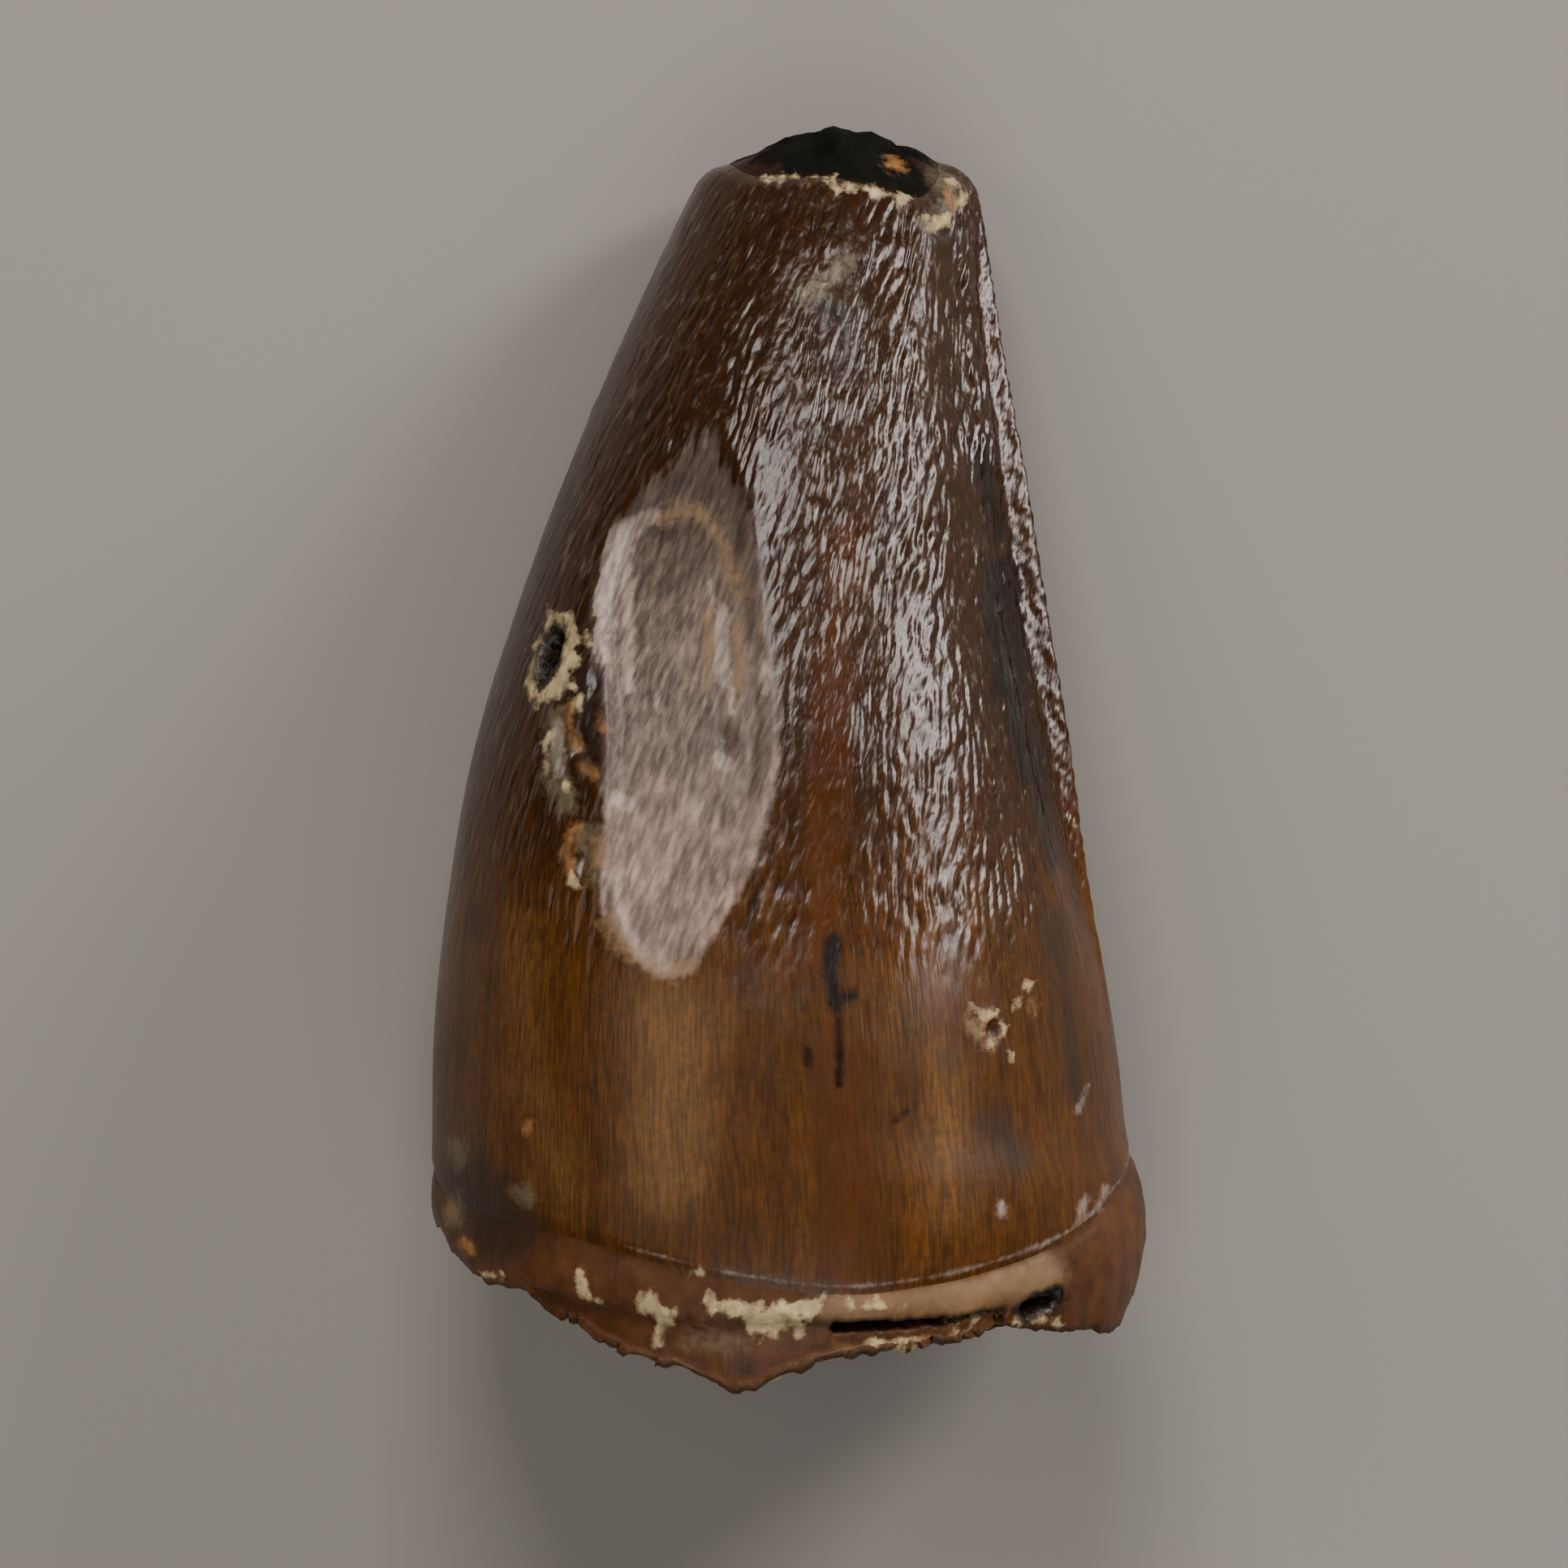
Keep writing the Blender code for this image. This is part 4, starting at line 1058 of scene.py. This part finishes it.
def matt_dentine(colours):
    """Dentine turned to stone, with the root's thin outer layer: brown and dull where the layer is
    whole, rough and paler where it broke, with painted shade near black in the cavity and black in the
    slot and the deep pit, and cream sediment in its hollows."""
    material, add, textures = new_finish("matt_dentine")

    colour = shaded(add, colours.root, textures.cloud, 0.60, 1.30)
    colour = shaded(add, colour, textures.blotch, 0.75, 1.20)
    rough = add(MATH, {0: textures.fibre, 1: 0.15, 2: 0.36}, operation="MULTIPLY_ADD")
    sediment = shaded(add, colours.sediment, textures.blotch, 0.50, 1.10)
    dentine = shaded(add, colours.dentine, textures.blotch, 0.50, 1.30)
    rust = shaded(add, colours.rust, textures.blotch, 0.30, 1.20)
    layers = (
        ("collar", colours.tan, 0.50, 0.30, 0.50, 0.80),
        ("smudge", colours.smudge, 0.45, 0.30, 0.40, 0.65),
        ("dust", colours.dust, 0.60, 0.60, 0.35, 0.50),
        ("tan", colours.tan, 0.55, 0.25, 0.20, 0.60),
        ("pale_and_glint", colours.pale_and_glint, 0.40, 0.12, 0.10, 0.40),
        ("broken", dentine, 0.70, 0.20, 0.06, 0.90),
        ("rust", rust, 0.55, 0.20, 0.12, 0.85),
        # Painted shade: the cavity laid near black
        ("hollow", colours.fracture_and_shade, 0.85, 0.50, 0.60, 0.75),
        ("sediment", sediment, 0.85, 0.20, 0.10, 0.90),
        # Painted shade in the slot and the deep pit of the root
        ("stain", colours.stain, 0.35, 0.10, 0.08, 0.96),
    )
    finish_material(material, add, textures, colour, rough, layers, specular=0.3)
    return material


def black_fracture(colours):
    """The tip's break, stained through by manganese: near black and dull between brown shoulders, with
    rust, clay dust and sediment."""
    material, add, textures = new_finish("black_fracture")
    shoulder = shaded(add, colours.enamel_upper, textures.dash, 0.60, 1.40)
    black = shaded(add, colours.fracture_and_shade, textures.blotch, 0.40, 1.60)
    rust = shaded(add, colours.rust, textures.blotch, 0.30, 1.20)
    layers = (
        ("face", black, 0.75, 0.20, 0.25, 1.00),
        ("dust", colours.dust, 0.75, 0.60, 0.35, 0.35),
        ("rust", rust, 0.65, 0.30, 0.15, 0.80),
        ("sediment", colours.sediment, 0.85, 0.20, 0.10, 0.85),
    )
    finish_material(material, add, textures, shoulder, 0.35, layers, specular=0.08)
    return material


def matt_board(colour):
    """Uncoated card: pale and matt."""
    material = bpy.data.materials.new("matt_board")
    material.use_nodes = True
    shader = material.node_tree.nodes["Principled BSDF"]
    shader.inputs["Base Color"].default_value = colour
    shader.inputs["Roughness"].default_value = 0.9
    return material


class MESH_OT_tooth_skin(bpy.types.Operator):
    """Adds the tooth's finished surface in the place of its plain solid"""

    bl_idname = "mesh.tooth_skin"
    bl_label = "Tooth Surface"
    bl_options = {"REGISTER", "UNDO"}

    def execute(self, context):
        settings = context.scene.fossil_tooth
        skin = bare_skin()
        height, marks = fine_relief(skin, settings.sizes)
        grid = skin.points + skin.normals * height[..., None]
        grid[..., 2] = np.maximum(grid[..., 2], 0.0)
        mesh = closed_mesh("tooth", grid, TIP_DOME_CENTRE, CAVITY_END)
        for name, values in marks.items():
            add_mark(mesh, name, values)
        turn = np.radians(skin.angle)
        around = MEAN_RADIUS * np.cos(turn), MEAN_RADIUS * np.sin(turn)
        add_mark(mesh, "grain", np.stack([*around, skin.y / GRAIN_STRETCH], axis=-1))
        for finish_of in (polished_enamel, matt_dentine, black_fracture):
            mesh.materials.append(finish_of(settings.colours))
        enamel = skin.band["crown"] | skin.band["step"]
        finish = np.where(skin.band["tip"], 2, np.where(enamel, 0, 1))
        faces = np.concatenate([finish[1:].ravel(), finish[0], finish[-1]])
        mesh.polygons.foreach_set("material_index", faces.astype(np.int32))
        tooth = bpy.data.objects.new("tooth", mesh)
        context.scene.collection.objects.link(tooth)
        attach(tooth, "root")
        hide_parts(TOOTH_NODE)
        return {"FINISHED"}


def soft_light(context, name, place, size, power, colour):
    """A soft light, at a place in metres, that faces the tooth and that the camera doesn't see."""
    lamp = bpy.data.lights.new(name, "AREA")
    lamp.shape = "RECTANGLE"
    lamp.size, lamp.size_y = size
    lamp.energy = power
    lamp.color = colour
    light = bpy.data.objects.new(name, lamp)
    light.location = place
    aim = MM * Vector(LIGHT_AIM) - light.location
    light.rotation_euler = aim.to_track_quat("-Z", "Y").to_euler()
    light.visible_camera = False
    context.scene.collection.objects.link(light)


class SCENE_OT_tooth_studio(bpy.types.Operator):
    """Adds the floor, the lights and the camera"""

    bl_idname = "scene.tooth_studio"
    bl_label = "Studio"
    bl_options = {"REGISTER", "UNDO"}

    def execute(self, context):
        settings = context.scene.fossil_tooth.studio
        half = FLOOR_HALF * MM
        corners = [(-half, -half, 0), (half, -half, 0), (half, half, 0), (-half, half, 0)]
        mesh = bpy.data.meshes.new("floor")
        mesh.from_pydata(corners, [], [(0, 1, 2, 3)])
        mesh.materials.append(matt_board(settings.floor))
        floor = bpy.data.objects.new("floor", mesh)
        context.scene.collection.objects.link(floor)

        lights = (
            ("right_light", (0.75, 0.53, 0.42), (0.07, 0.16), settings.right_power, (1.0, 0.90, 0.86)),
            ("edge_light", (0.80, 0.55, 0.22), (0.06, 0.12), settings.edge_power, (1.0, 0.90, 0.86)),
            ("beyond_light", (-0.06, 0.70, 0.71), (0.14, 0.10), settings.beyond_power, (1.0, 0.92, 0.88)),
            ("root_light", (0.0, -0.55, 0.83), (0.26, 0.26), settings.root_power, (1.0, 0.97, 0.94)),
            ("left_sheen", (-0.60, 0.19, 0.78), (0.12, 0.16), settings.left_power, (1.0, 0.84, 0.68)),
        )
        for name, direction, size, power, colour in lights:
            place = LIGHT_DISTANCE * MM * Vector(direction)
            soft_light(context, name, place, size, power, colour)

        world = bpy.data.worlds.new("studio_air")
        world.use_nodes = True
        air = world.node_tree.nodes["Background"].inputs
        air["Color"].default_value = (1.0, 0.98, 0.96, 1.0)
        air["Strength"].default_value = 0.05
        context.scene.world = world

        camera = bpy.data.cameras.new("camera")
        camera.lens = settings.lens
        camera.sensor_width = SENSOR_WIDTH
        camera.clip_start = CLIP_START * MM
        viewer = bpy.data.objects.new("camera", camera)
        height = VIEW_WIDTH * settings.lens / SENSOR_WIDTH
        viewer.location = MM * (Vector(VIEW_MIDDLE) + Vector((0, 0, height)))
        context.scene.collection.objects.link(viewer)
        context.scene.camera = viewer
        return {"FINISHED"}


class FossilTooth(bpy.types.PropertyGroup):
    """All settings of the tooth and its studio"""

    sizes: bpy.props.PointerProperty(type=ToothSizes)
    colours: bpy.props.PointerProperty(type=ToothColours)
    studio: bpy.props.PointerProperty(type=StudioSettings)


class VIEW3D_PT_fossil_tooth(bpy.types.Panel):
    """Lists the settings and the operators in the sidebar"""

    bl_label = "Fossil Tooth"
    bl_idname = "VIEW3D_PT_fossil_tooth"
    bl_space_type = "VIEW_3D"
    bl_region_type = "UI"
    bl_category = "Fossil Tooth"

    def draw(self, context):
        settings = context.scene.fossil_tooth
        for group in (settings.sizes, settings.colours, settings.studio):
            box = self.layout.box()
            for name in group.bl_rna.properties.keys():
                if name not in ("rna_type", "name"):
                    box.prop(group, name)
        self.layout.operator(MESH_OT_tooth_skin.bl_idname)
        self.layout.operator(SCENE_OT_tooth_studio.bl_idname)


GROUPS = (ToothSizes, ToothColours, StudioSettings, FossilTooth)
CLASSES = (*GROUPS, MESH_OT_tooth_skin, SCENE_OT_tooth_studio, VIEW3D_PT_fossil_tooth)


def register():
    """Makes the classes and the scene's settings known."""
    for kind in CLASSES:
        bpy.utils.register_class(kind)
    bpy.types.Scene.fossil_tooth = bpy.props.PointerProperty(type=FossilTooth)


def unregister():
    """Takes them away again."""
    del bpy.types.Scene.fossil_tooth
    for kind in reversed(CLASSES):
        bpy.utils.unregister_class(kind)


def main():
    """Builds the tooth and its studio."""
    register()
    bpy.ops.mesh.tooth_skin()
    bpy.ops.scene.tooth_studio()


if __name__ == "__main__":
    main()
